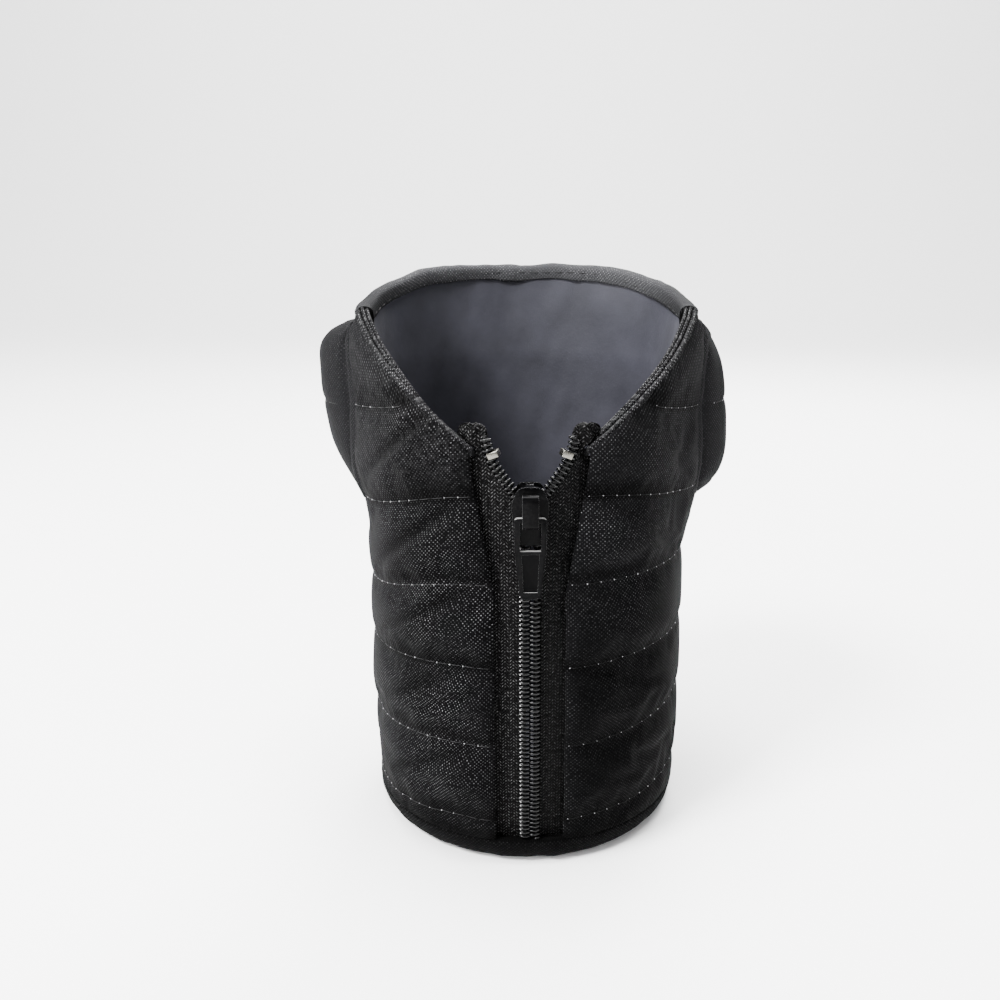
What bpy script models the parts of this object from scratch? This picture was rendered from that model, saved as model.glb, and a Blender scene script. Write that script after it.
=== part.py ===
"""Can cooler sleeve made like a small quilted jacket, with a front zip.

Units are metres and +Z is up. The upright axis of the can is the Z axis, the base rests on
Z = 0 and the zip faces -Y. Angles round the sleeve are measured from the zip, towards +X.
"""
import math

import bmesh
import bpy
from mathutils import Matrix

MM = 0.001

# The can that the sleeve is made for
CAN_DIAMETER = 66.2 * MM
CAN_CLEARANCE = 0.3 * MM

# Clearance between neighbouring pieces
GAP = 0.3 * MM

# Layers of the wall, from the can outwards
LINING_THICKNESS = 1.6 * MM
SHELL_THICKNESS = 0.7 * MM
PUFF_HEIGHT = 0.85 * MM
SKIRT_FLARE = 1.8 * MM

# Base and bottom hem
BASE_THICKNESS = 1.6 * MM
BASE_INSET = 1.0 * MM
BASE_ROUNDING = 0.4 * MM
LINING_FLOOR = 1.0 * MM
HEM_HEIGHT = 6.0 * MM
HEM_TUCK = 4.6 * MM

# Rows of quilting, which are level rings
ROW_FIRST = 11.5 * MM
ROW_PITCH = 18.6 * MM
ROW_COUNT = 6

# Neckline: low at the zip, a corner at each side, highest at the back
NECK_FRONT_ANGLE = 18.6
NECK_FRONT_HEIGHT = 96.2 * MM
NECK_CORNER_ANGLE = 76.0
NECK_CORNER_HEIGHT = 120.8 * MM
NECK_BACK_ANGLE = 154.0
NECK_BACK_HEIGHT = 128.3 * MM

# Collar
COLLAR_SEAM = 114.0 * MM
COLLAR_FLARE = 1.9 * MM
COLLAR_PUFF = 0.8 * MM
FLARE_START = 106.0 * MM
LIP_HEIGHT = 1.7 * MM
LIP_PROUD = 0.3 * MM
LIP_THIN_END = 0.45
FOLD_DEPTH = 3.8 * MM
FOLD_THICKNESS = 0.6 * MM

# Arms, short padded stubs that lie back along the sides
SHOULDER_SWELL = 3.2 * MM
SHOULDER_ANGLE = 84.0
SHOULDER_SPREAD = 18.0
ARM_FRONT_ANGLE = 80.0
ARM_END_ANGLE = 134.0
ARM_PEAK_ANGLE = 108.0
ARM_REACH = 47.6 * MM
ARM_FRONT_REACH = 41.6 * MM
ARM_END_REACH = 45.4 * MM
ARM_MIDDLE = 98.0 * MM
ARM_DROOP = 3.0 * MM
ARM_HALF_HEIGHT = 21.0 * MM
ARM_FRONT_HALF = 19.0 * MM
ARM_END_HALF = 15.0 * MM
ARM_GROOVE = 0.6 * MM
ARM_GROOVE_WIDTH = 1.6 * MM
CUFF_WIDTH = 3.4 * MM
CUFF_INSET = 0.9 * MM

# Zip
ZIP_PITCH = 1.2 * MM
TOOTH_CLEARANCE = 0.12 * MM
TOOTH_CROSSING = 0.45 * MM
HALF_CHAIN = 2.4 * MM
CHAIN_DEPTH = 1.8 * MM
COIL_CORD = 0.8 * MM
TAPE_THICKNESS = 0.5 * MM
TAPE_GAP = 2.6 * MM
TAPE_UNDERLAP = 2.0 * MM
PANEL_EDGE = 7.3 * MM
PANEL_EDGE_TOP = 11.9 * MM
PANEL_EDGE_FLARE_LENGTH = 34.2 * MM
ZIP_OPEN_LENGTH = 12.2 * MM
ZIP_END_SPREAD = 8.9 * MM
ZIP_END_ABOVE = 2.0 * MM
TAPE_HUMP = 1.6 * MM
STOP_BELOW_END = 4.0 * MM
STOP_LENGTH = 1.8 * MM
STOP_METAL = 0.5 * MM
STOP_REACH = 0.5 * MM

# Slider
SLIDER_LENGTH = 11.9 * MM
SLIDER_WIDTH = 7.4 * MM
SLIDER_TAIL_WIDTH = 6.6 * MM
SLIDER_PLATE = 1.0 * MM
SLIDER_BACK_PLATE = 0.6 * MM
SLIDER_AHEAD = 4.6 * MM
FLANGE_THICKNESS = 0.6 * MM
FLANGE_LENGTH = 6.0 * MM
WEDGE_WIDTH = 1.6 * MM
WEDGE_LENGTH = 1.9 * MM
BRIDGE_WIDTH = 3.2 * MM
BRIDGE_LENGTH = 6.8 * MM
BRIDGE_STRAP = 0.8 * MM
BRIDGE_SETBACK = 1.2 * MM

# Pull tab
TAB_LENGTH = 16.9 * MM
TAB_WIDTH = 6.4 * MM
TAB_TIP_WIDTH = 4.2 * MM
TAB_THICKNESS = 1.1 * MM
TAB_BAR = 1.0 * MM
TAB_WINDOW_LENGTH = 5.8 * MM
TAB_WINDOW_SIDE = 0.5 * MM
TAB_CORNER = 0.7 * MM
TAB_RIM = 0.7 * MM
TAB_RECESS = 0.3 * MM

# Fineness of the surfaces
STEPS_ROUND = 44
STEPS_ARM = 11
STEPS_LIP = 9
STEPS_TAPE = 16
STEPS_SECTION = 12
FULL_TURN = 360.0

# Radii and heights that follow from the sizes above
LINING_INNER = CAN_DIAMETER / 2 + CAN_CLEARANCE
LINING_OUTER = LINING_INNER + LINING_THICKNESS
SHELL_INNER = LINING_OUTER + GAP
SEAM_RADIUS = SHELL_INNER + SHELL_THICKNESS
LINING_BOTTOM = BASE_THICKNESS + GAP
SHELL_BOTTOM = HEM_HEIGHT + GAP
TAPE_OUTER = LINING_OUTER
TAPE_INNER = TAPE_OUTER - TAPE_THICKNESS
CHAIN_INNER = TAPE_OUTER + GAP
CHAIN_OUTER = CHAIN_INNER + CHAIN_DEPTH
ZIP_SPLIT = NECK_FRONT_HEIGHT - ZIP_OPEN_LENGTH
ZIP_END_HEIGHT = NECK_FRONT_HEIGHT + ZIP_END_ABOVE
STOP_HEIGHT = ZIP_END_HEIGHT - STOP_BELOW_END
PANEL_EDGE_BEND = NECK_FRONT_HEIGHT - PANEL_EDGE_FLARE_LENGTH
SLIDER_TOP = ZIP_SPLIT + SLIDER_AHEAD
SLIDER_BOTTOM = SLIDER_TOP - SLIDER_LENGTH
SLIDER_FACE = CHAIN_OUTER + GAP
SLIDER_FRONT = SLIDER_FACE + SLIDER_PLATE
BRIDGE_TOP = SLIDER_TOP - BRIDGE_SETBACK
BRIDGE_BOTTOM = BRIDGE_TOP - BRIDGE_LENGTH
BRIDGE_HOLE = TAB_THICKNESS + 2 * GAP
BRIDGE_FRONT = SLIDER_FRONT + BRIDGE_HOLE + BRIDGE_STRAP
BAR_REACH = SLIDER_FRONT + BRIDGE_HOLE / 2
BAR_HEIGHT = BRIDGE_BOTTOM + BRIDGE_STRAP + GAP + TAB_BAR / 2
OUTSIDE = 60.0 * MM
CUTTER_MARGIN = 8.0 * MM
ABOVE = 160.0 * MM
SIDES = (("left", -1), ("right", 1))


def smooth_step(u):
    """Rises gently from 0 to 1 as u goes from 0 to 1."""
    u = min(1.0, max(0.0, u))
    return u * u * (3 - 2 * u)


def mix(a, b, u):
    return a + (b - a) * u


def neckline(angle):
    """Height of the top edge at an angle in degrees from the zip."""
    a = abs(angle)
    if a <= NECK_CORNER_ANGLE:
        u = (a - NECK_FRONT_ANGLE) / (NECK_CORNER_ANGLE - NECK_FRONT_ANGLE)
        return mix(NECK_FRONT_HEIGHT, NECK_CORNER_HEIGHT, u)
    u = (a - NECK_CORNER_ANGLE) / (NECK_BACK_ANGLE - NECK_CORNER_ANGLE)
    return mix(NECK_CORNER_HEIGHT, NECK_BACK_HEIGHT, smooth_step(u))


def flare(z):
    """How far the wall leans outwards at the collar."""
    return COLLAR_FLARE * max(0.0, z - FLARE_START) / (NECK_BACK_HEIGHT - FLARE_START)


def seam_radius(z):
    """Outer radius of the shell where it is stitched down."""
    return SEAM_RADIUS + SKIRT_FLARE * max(0.0, 1 - z / COLLAR_SEAM) + flare(z)


def quilt_edges():
    """Heights that bound the padded channels of the shell."""
    rows = [ROW_FIRST + ROW_PITCH * k for k in range(ROW_COUNT)]
    top = COLLAR_SEAM - GAP
    return [SHELL_BOTTOM] + [z for z in rows if SHELL_BOTTOM < z < top] + [top]


def quilt_profile(spread):
    """Outer line of the quilted shell from top to bottom, moved outwards by a distance."""
    edges = quilt_edges()
    line = []
    for low, high in zip(edges, edges[1:]):
        share = min(1.0, (high - low) / ROW_PITCH)
        puff = PUFF_HEIGHT * math.sqrt(share)
        for u in (0.0, 0.12, 0.5, 0.88) if share > 0.6 else (0.0, 0.2, 0.8):
            z = mix(low, high, u)
            swell = puff * math.sin(math.pi * u) ** 0.6
            line.append((seam_radius(z) + swell + spread, z))
    line.append((seam_radius(edges[-1]) + spread, edges[-1]))
    return line[::-1]


def shoulder_swell(angle, z):
    """How far the shell stands out where an arm is sewn on."""
    side = math.exp(-(((abs(angle) - SHOULDER_ANGLE) / SHOULDER_SPREAD) ** 2))
    low = ARM_MIDDLE - ARM_HALF_HEIGHT - ROW_PITCH / 2
    rise = smooth_step((z - low) / ROW_PITCH)
    fall = smooth_step((COLLAR_SEAM - z) / (ROW_PITCH / 4))
    return SHOULDER_SWELL * side * rise * fall


def panel_edge(z):
    """Distance round the front from the zip's middle to the edge of the shell."""
    u = (z - PANEL_EDGE_BEND) / (NECK_FRONT_HEIGHT - PANEL_EDGE_BEND)
    return mix(PANEL_EDGE, PANEL_EDGE_TOP, smooth_step(u))


def chain_path(z):
    """Distance from the zip's middle to the middle of one half of the chain."""
    closed = HALF_CHAIN / 2
    if z <= ZIP_SPLIT:
        return closed
    u = (z - ZIP_SPLIT) / (ZIP_END_HEIGHT - ZIP_SPLIT)
    return closed + (ZIP_END_SPREAD - closed) * math.sin(u * math.pi / 2) ** 1.15


def on_front(x, reach, z):
    """Point at distance x round the front, at a radius, seen from above the axis."""
    a = x / SEAM_RADIUS
    return (reach * math.sin(a), -reach * math.cos(a), z)


def on_ring(angle, reach, z):
    a = math.radians(angle)
    return (reach * math.sin(a), -reach * math.cos(a), z)


def material(name, colour, roughness, metallic=0.0):
    found = bpy.data.materials.get(name)
    if found:
        return found
    made = bpy.data.materials.new(name)
    made.use_nodes = True
    shader = made.node_tree.nodes["Principled BSDF"]
    shader.inputs["Base Color"].default_value = (*colour, 1.0)
    shader.inputs["Roughness"].default_value = roughness
    shader.inputs["Metallic"].default_value = metallic
    made.diffuse_color = (*colour, 1.0)
    return made


def quilted_fabric():
    return material("quilted_fabric", (0.018, 0.018, 0.019), 0.85)


def binding_fabric():
    return material("binding_fabric", (0.024, 0.024, 0.025), 0.8)


def lining_fabric():
    return material("lining_fabric", (0.055, 0.056, 0.066), 0.75)


def tape_fabric():
    return material("tape_fabric", (0.012, 0.012, 0.012), 0.7)


def coil_nylon():
    return material("coil_nylon", (0.010, 0.010, 0.010), 0.3)


def black_metal():
    return material("black_metal", (0.014, 0.014, 0.015), 0.3, 0.6)


def silver_metal():
    return material("silver_metal", (0.72, 0.72, 0.70), 0.3, 1.0)


def clear_scene():
    for item in list(bpy.data.objects):
        bpy.data.objects.remove(item, do_unlink=True)


def collection(name):
    made = bpy.data.collections.new(name)
    bpy.context.scene.collection.children.link(made)
    return made


def add_object(name, data, group, look=None):
    item = bpy.data.objects.new(name, data)
    group.objects.link(item)
    if look:
        data.materials.append(look)
    return item


def finish_mesh(bm, name):
    """Turns the faces outwards and stores the mesh with its creases kept sharp."""
    bmesh.ops.recalc_face_normals(bm, faces=bm.faces)
    mesh = bpy.data.meshes.new(name)
    bm.to_mesh(mesh)
    bm.free()
    mesh.shade_smooth()
    mesh.set_sharp_from_angle(angle=math.radians(35))
    return mesh


def loft(name, sections, group, look=None, closed=False):
    """Skin through sections with as many points each, capped unless it closes on itself."""
    bm = bmesh.new()
    rings = [[bm.verts.new(p) for p in section] for section in sections]
    pairs = list(zip(rings, rings[1:]))
    if closed:
        pairs.append((rings[-1], rings[0]))
    count = len(rings[0])
    for a, b in pairs:
        for k in range(count):
            n = (k + 1) % count
            bm.faces.new((a[k], a[n], b[n], b[k]))
    if not closed:
        bm.faces.new(rings[0])
        bm.faces.new(rings[-1])
    return add_object(name, finish_mesh(bm, name), group, look)


def turned(name, profile, group, look=None):
    """Solid turned about Z from an outline of (radius, height) that runs down outside.

    The outline closes on itself, or begins and ends on the axis.
    """
    mesh = bpy.data.meshes.new(name)
    count = len(profile)
    edges = [(k, k + 1) for k in range(count - 1)]
    if profile[0][0] > 0:
        edges.append((count - 1, 0))
    mesh.from_pydata([(r, 0.0, z) for r, z in profile], edges, [])
    item = add_object(name, mesh, group)
    screw = item.modifiers.new("turn", "SCREW")
    screw.axis = "Z"
    screw.angle = math.tau
    screw.steps = STEPS_ROUND
    screw.render_steps = STEPS_ROUND
    screw.use_merge_vertices = True
    screw.merge_threshold = 1e-6
    return as_mesh(item, group, look)


def as_mesh(item, group, look=None):
    """Replaces a curve, or an object with modifiers, by its finished mesh in world space."""
    bpy.context.view_layer.update()
    graph = bpy.context.evaluated_depsgraph_get()
    shape = bpy.data.meshes.new_from_object(item.evaluated_get(graph))
    shape.transform(item.matrix_world)
    bm = bmesh.new()
    bm.from_mesh(shape)
    bmesh.ops.remove_doubles(bm, verts=bm.verts, dist=1e-6)
    name = item.name
    old = item.data
    bpy.data.objects.remove(item)
    old.name = name + "_outline"
    mesh = finish_mesh(bm, name)
    mesh.materials.clear()
    return add_object(name, mesh, group, look)


def plate(name, outlines, near, far, group, look=None):
    """Flat plate in the front view, between two distances in front of the axis."""
    curve = bpy.data.curves.new(name, "CURVE")
    curve.dimensions = "2D"
    curve.fill_mode = "BOTH"
    curve.extrude = (far - near) / 2
    for outline in outlines:
        spline = curve.splines.new("POLY")
        spline.points.add(len(outline) - 1)
        for point, (x, z) in zip(spline.points, outline):
            point.co = (x, z, 0.0, 1.0)
        spline.use_cyclic_u = True
    item = add_object(name, curve, group)
    item.rotation_euler = (math.pi / 2, 0.0, 0.0)
    item.location = (0.0, -(near + far) / 2, 0.0)
    return as_mesh(item, group, look)


def side_plate(name, outlines, width, group, look=None):
    """Plate seen from the side: outlines of (distance in front of the axis, height)."""
    curve = bpy.data.curves.new(name, "CURVE")
    curve.dimensions = "2D"
    curve.fill_mode = "BOTH"
    curve.extrude = width / 2
    for outline in outlines:
        spline = curve.splines.new("POLY")
        spline.points.add(len(outline) - 1)
        for point, (reach, z) in zip(spline.points, outline):
            point.co = (-reach, z, 0.0, 1.0)
        spline.use_cyclic_u = True
    item = add_object(name, curve, group)
    item.rotation_euler = (math.pi / 2, 0.0, math.pi / 2)
    return as_mesh(item, group, look)


def boolean(item, other, kind):
    """Adds or removes the volume of another object, which becomes a guide."""
    change = item.modifiers.new(kind.lower() + "_" + other.name, "BOOLEAN")
    change.operation = kind
    change.object = other
    change.solver = "EXACT"
    other.hide_render = True
    other.display_type = "WIRE"


def rounded(points, radius, segments=3):
    """Outline whose corners are arcs of a radius."""
    line = []
    count = len(points)
    for k in range(count):
        px, pz = points[k]
        ends = []
        for nx, nz in (points[k - 1], points[(k + 1) % count]):
            far = math.hypot(nx - px, nz - pz)
            u = min(0.45, radius / far)
            ends.append((mix(px, nx, u), mix(pz, nz, u)))
        (ax, az), (bx, bz) = ends
        for s in range(segments + 1):
            t = s / segments
            x = (1 - t) ** 2 * ax + 2 * t * (1 - t) * px + t * t * bx
            z = (1 - t) ** 2 * az + 2 * t * (1 - t) * pz + t * t * bz
            line.append((x, z))
    return line


def front_band(name, stations, inner, outer, group, look=None, columns=3):
    """Band wrapped round the front through stations of (height, left distance, right distance)."""
    sections = []
    for z, left, right in stations:
        across = [mix(left, right, k / columns) for k in range(columns + 1)]
        front = [on_front(x, outer, z) for x in across]
        back = [on_front(x, inner, z) for x in reversed(across)]
        sections.append(front + back)
    return loft(name, sections, group, look)


def heights(low, high, count):
    return [mix(low, high, k / count) for k in range(count + 1)]


def edge_marks():
    """Heights at which the bent edges beside the zip are set out."""
    return heights(PANEL_EDGE_BEND, NECK_FRONT_HEIGHT, STEPS_TAPE)


def neckline_cutter(name, drop, group):
    """Ring above the top edge, lowered by a distance."""
    reaches = (LINING_INNER - CUTTER_MARGIN, SEAM_RADIUS, SEAM_RADIUS + CUTTER_MARGIN)
    sections = []
    for k in range(2 * STEPS_ROUND):
        angle = FULL_TURN * ((k + 0.5) / STEPS_ROUND - 1) / 2
        z = neckline(angle) - drop
        low = [on_ring(angle, reach, z) for reach in reaches]
        high = [on_ring(angle, reach, ABOVE) for reach in reversed(reaches)]
        sections.append(low + high)
    return loft(name, sections, group, closed=True)


def front_cutter(name, edge, low, group):
    """Radial-sided block that opens the front from a height upwards."""
    stations = [(z, -edge(z), edge(z)) for z in [low] + edge_marks()]
    top = stations[-1]
    stations.append((ABOVE, top[1], top[2]))
    return front_band(name, stations, LINING_INNER / 2, OUTSIDE, group, columns=6)


def base_panel(group):
    radius = LINING_INNER - BASE_INSET
    bpy.ops.mesh.primitive_cylinder_add(
        vertices=STEPS_ROUND, radius=radius, depth=BASE_THICKNESS, location=(0, 0, BASE_THICKNESS / 2)
    )
    item = bpy.context.active_object
    for home in list(item.users_collection):
        home.objects.unlink(item)
    group.objects.link(item)
    item.name = "base_panel"
    item.data.name = "base_panel"
    bevel = item.modifiers.new("soft_edge", "BEVEL")
    bevel.width = min(BASE_ROUNDING, BASE_THICKNESS / 3)
    bevel.segments = 1
    bevel.limit_method = "ANGLE"
    item.data.materials.append(binding_fabric())
    return item


def bottom_hem(group):
    """Band round the foot, which curves under to the base."""
    outside = seam_radius(HEM_HEIGHT)
    inside = LINING_INNER - BASE_INSET + GAP
    profile = []
    for u in (0.0, 0.25, 0.5, 0.75, 1.0):
        a = math.pi / 2 * u
        profile.append((outside - HEM_TUCK * (1 - math.cos(a)), HEM_HEIGHT * (1 - math.sin(a))))
    profile += [(inside, 0.0), (inside, BASE_THICKNESS), (SHELL_INNER, BASE_THICKNESS)]
    profile.append((SHELL_INNER, HEM_HEIGHT))
    return turned("bottom_hem", profile, group, binding_fabric())


def lining(group, cutters):
    """Cup of padded lining that holds the can, open down the front where the zip is."""
    top = NECK_BACK_HEIGHT + LIP_HEIGHT
    wall = [SHELL_BOTTOM, FLARE_START, top]
    corner = LINING_THICKNESS / 2
    floor = LINING_BOTTOM + LINING_FLOOR
    profile = [(0.0, floor), (LINING_INNER - corner, floor), (LINING_INNER, floor + corner)]
    profile += [(LINING_INNER + flare(z), z) for z in wall]
    profile += [(LINING_OUTER + flare(z), z) for z in reversed(wall)]
    profile += [(LINING_OUTER, LINING_BOTTOM + corner), (LINING_OUTER - corner, LINING_BOTTOM)]
    profile.append((0.0, LINING_BOTTOM))
    item = turned("lining", profile, group, lining_fabric())
    boolean(item, neckline_cutter("lining_top_cutter", LIP_HEIGHT + GAP, cutters), "DIFFERENCE")

    def slot(z):
        return panel_edge(z) + TAPE_UNDERLAP + GAP

    boolean(item, front_cutter("lining_slot_cutter", slot, HEM_HEIGHT, cutters), "DIFFERENCE")
    return item


def swell_shoulders(item, inner):
    """Moves the outside of a turned wall out where the arms are sewn on."""
    for vertex in item.data.vertices:
        x, y, z = vertex.co
        reach = math.hypot(x, y)
        if reach < inner:
            continue
        angle = math.degrees(math.atan2(x, -y))
        grown = reach + shoulder_swell(angle, z)
        vertex.co = (x * grown / reach, y * grown / reach, z)


def quilted_body(group, cutters):
    """Outer fabric, quilted in level channels, from one side of the zip round to the other."""
    outside = quilt_profile(0.0)
    inside = [(SHELL_INNER, SHELL_BOTTOM), (SHELL_INNER, FLARE_START)]
    inside.append((SHELL_INNER + flare(outside[0][1]), outside[0][1]))
    item = turned("quilted_body", outside + inside, group, quilted_fabric())
    swell_shoulders(item, SHELL_INNER + flare(COLLAR_SEAM) + SHELL_THICKNESS / 2)
    low = SHELL_BOTTOM - ROW_FIRST
    boolean(item, front_cutter("body_front_cutter", panel_edge, low, cutters), "DIFFERENCE")
    boolean(item, neckline_cutter("body_top_cutter", LIP_HEIGHT + GAP, cutters), "DIFFERENCE")
    return item


def collar(group, cutters):
    """Stand-up band above the shoulder seam, highest at the back."""
    top = NECK_BACK_HEIGHT + LIP_HEIGHT
    outside = []
    for k in range(5):
        u = k / 4
        z = mix(top, COLLAR_SEAM, u)
        outside.append((seam_radius(z) + COLLAR_PUFF * math.sin(math.pi * u) ** 0.7, z))
    inside = [(SHELL_INNER + flare(z), z) for z in (COLLAR_SEAM, top)]
    item = turned("collar", outside + inside, group, quilted_fabric())
    boolean(item, neckline_cutter("collar_top_cutter", LIP_HEIGHT + GAP, cutters), "DIFFERENCE")
    return item


def lip_section(angle, size):
    """Three soft ridges, side by side, that cap the layers of the front edge."""
    top = neckline(angle)
    low = top - LIP_HEIGHT
    inner = LINING_INNER + flare(top)
    outer = seam_radius(top) + LIP_PROUD
    middle = (inner + outer) / 2
    half = (outer - inner) / 2 * size
    points = [(middle - half, low), (middle + half, low)]
    for ridge in (2, 1, 0):
        for side in (0.8, 0.5, 0.2):
            reach = middle - half + 2 * half * (ridge + side) / 3
            height = top if side == 0.5 else top - LIP_HEIGHT / 4
            points.append((reach, height))
        if ridge:
            points.append((middle - half + 2 * half * ridge / 3, top - LIP_HEIGHT / 2))
    return [on_ring(angle, reach, z) for reach, z in points]


def neckline_lip(side, sign, group):
    """Edge of the front opening from the zip up to the collar's corner."""
    start = NECK_FRONT_ANGLE + math.degrees(GAP / SEAM_RADIUS)
    sections = []
    for k in range(STEPS_LIP + 1):
        u = k / STEPS_LIP
        angle = mix(start, NECK_CORNER_ANGLE, u)
        size = mix(LIP_THIN_END, 1.0, smooth_step(2 * u - 0.6))
        sections.append(lip_section(sign * angle, size))
    return loft("neckline_lip_" + side, sections, group, binding_fabric())


def collar_fold(group):
    """Outer fabric folded over the top edge of the collar and stitched down inside."""
    gap_angle = math.degrees(GAP / SEAM_RADIUS)
    start = NECK_CORNER_ANGLE + gap_angle
    count = round((1 - 2 * start / FULL_TURN) * STEPS_ROUND)
    sections = []
    for k in range(count + 1):
        angle = mix(start, FULL_TURN - start, k / count)
        top = neckline(min(angle, FULL_TURN - angle))
        low = top - LIP_HEIGHT
        inner = LINING_INNER + flare(low) - GAP
        outer = seam_radius(top) + LIP_PROUD
        ring = [
            (outer, low),
            (outer, top - LIP_HEIGHT / 3),
            (outer - FOLD_THICKNESS, top),
            (inner, top),
            (inner - FOLD_THICKNESS, top - LIP_HEIGHT / 3),
            (inner - FOLD_THICKNESS, top - FOLD_DEPTH),
            (inner, top - FOLD_DEPTH),
            (inner, low),
        ]
        sections.append([on_ring(angle, reach, z) for reach, z in ring])
    return loft("collar_fold", sections, group, quilted_fabric())


def arm_size(angle):
    """Reach, half height and middle height of an arm at an angle."""
    if angle < ARM_PEAK_ANGLE:
        u = (angle - ARM_FRONT_ANGLE) / (ARM_PEAK_ANGLE - ARM_FRONT_ANGLE)
        bulge = math.sin(u * math.pi / 2)
        reach = mix(ARM_FRONT_REACH, ARM_REACH, bulge)
        half = mix(ARM_FRONT_HALF, ARM_HALF_HEIGHT, bulge)
    else:
        u = (angle - ARM_PEAK_ANGLE) / (ARM_END_ANGLE - ARM_PEAK_ANGLE)
        reach = mix(ARM_REACH, ARM_END_REACH, u * u)
        half = mix(ARM_HALF_HEIGHT, ARM_END_HALF, u * u)
    along = (angle - ARM_FRONT_ANGLE) / (ARM_END_ANGLE - ARM_FRONT_ANGLE)
    return reach, half, ARM_MIDDLE - ARM_DROOP * along


def groove(z):
    """Depth of the stitched rows that run on across the arm."""
    rows = [ROW_FIRST + ROW_PITCH * k for k in range(ROW_COUNT)]
    return ARM_GROOVE * max(math.exp(-(((z - row) / ARM_GROOVE_WIDTH) ** 2)) for row in rows)


def arm_section(angle, sign, inset):
    """Section of an arm across its length, round outside and open-ended towards the body."""
    reach, half, middle = arm_size(angle)
    half -= inset
    reach -= inset
    root = LINING_OUTER
    points = []
    for k in range(STEPS_SECTION + 1):
        u = math.cos(math.pi * k / STEPS_SECTION)
        z = middle + half * u
        depth = max(0.0, 1 - u * u) ** 0.65
        out = mix(SEAM_RADIUS, reach, depth)
        points.append((max(SEAM_RADIUS, out - groove(z) * depth), z))
    points += [(root, middle - half), (root, middle + half)]
    return [on_ring(sign * angle, out, z) for out, z in points]


def seat_cutter(group):
    """Space of the quilted body with the clearance that an arm keeps to it."""
    outside = [(r, z) for r, z in quilt_profile(GAP)]
    top = NECK_BACK_HEIGHT
    upper = [(seam_radius(z) + COLLAR_PUFF + LIP_PROUD + GAP, z) for z in (top, COLLAR_SEAM)]
    inside = [(LINING_INNER / 2, SHELL_BOTTOM), (LINING_INNER / 2, top)]
    item = turned("arm_seat_cutter", upper + outside + inside, group)
    swell_shoulders(item, LINING_INNER)
    return item


def arm(side, sign, group, seat):
    sections = []
    for k in range(STEPS_ARM + 1):
        angle = mix(ARM_FRONT_ANGLE, ARM_END_ANGLE, k / STEPS_ARM)
        sections.append(arm_section(angle, sign, 0.0))
    item = loft(side + "_arm", sections, group, quilted_fabric())
    boolean(item, seat, "DIFFERENCE")
    return item


def cuff(side, sign, group, seat):
    """Bound end of an arm."""
    start = ARM_END_ANGLE + math.degrees(GAP / SEAM_RADIUS)
    sweep = math.degrees(CUFF_WIDTH / ARM_END_REACH)
    sections = []
    for u, inset in ((0.0, 1.0), (0.25, 0.75), (0.8, 0.8), (1.0, 1.4)):
        shape = arm_section(ARM_END_ANGLE, sign, CUFF_INSET * inset)
        turn = math.radians(sign * (start - ARM_END_ANGLE + sweep * u))
        ring = []
        for x, y, z in shape:
            ring.append((x * math.cos(turn) - y * math.sin(turn), x * math.sin(turn) + y * math.cos(turn), z))
        sections.append(ring)
    item = loft(side + "_cuff", sections, group, binding_fabric())
    boolean(item, seat, "DIFFERENCE")
    return item


def zip_tape(side, sign, group):
    """Half of the tape: straight beside the chain, then turned out with it at the top."""
    tuck_end = NECK_FRONT_HEIGHT - LIP_HEIGHT - 2 * GAP
    limit = math.radians(NECK_FRONT_ANGLE) * SEAM_RADIUS - GAP
    stations = []
    top = ZIP_END_HEIGHT + TAPE_HUMP
    marks = [SHELL_BOTTOM] + edge_marks() + [ZIP_END_HEIGHT, top - TAPE_HUMP / 2, top]
    for z in marks:
        inner = chain_path(min(z, ZIP_END_HEIGHT)) - HALF_CHAIN / 2 + TAPE_GAP / 2
        outer = panel_edge(z) + TAPE_UNDERLAP
        if z > tuck_end - ROW_PITCH / 8:
            outer = min(outer, limit)
        hump = max(0.0, (z - ZIP_END_HEIGHT) / TAPE_HUMP)
        middle = (inner + outer) / 2
        inner = mix(inner, middle, hump * hump * 0.6)
        outer = mix(outer, middle, hump * hump * 0.6)
        ends = sorted((sign * inner, sign * outer))
        stations.append((z, ends[0], ends[1]))
    return front_band("zip_tape_" + side, stations, TAPE_INNER, TAPE_OUTER, group, tape_fabric())


def chain_points():
    """Evenly spaced points along the middle of one half of the chain, with their normals."""
    samples = heights(SHELL_BOTTOM, ZIP_END_HEIGHT, 600)
    walked = [0.0]
    for a, b in zip(samples, samples[1:]):
        walked.append(walked[-1] + math.hypot(b - a, chain_path(b) - chain_path(a)))
    spacing = ZIP_PITCH / 4
    points = []
    place = 0
    for n in range(int(walked[-1] / spacing)):
        while walked[place + 1] < n * spacing:
            place += 1
        u = (n * spacing - walked[place]) / (walked[place + 1] - walked[place])
        z = mix(samples[place], samples[place + 1], u)
        slope = chain_path(z + MM / 10) - chain_path(z - MM / 10)
        length = math.hypot(slope, MM / 5)
        points.append((chain_path(z), z, -MM / 5 / length, slope / length))
    return points


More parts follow.
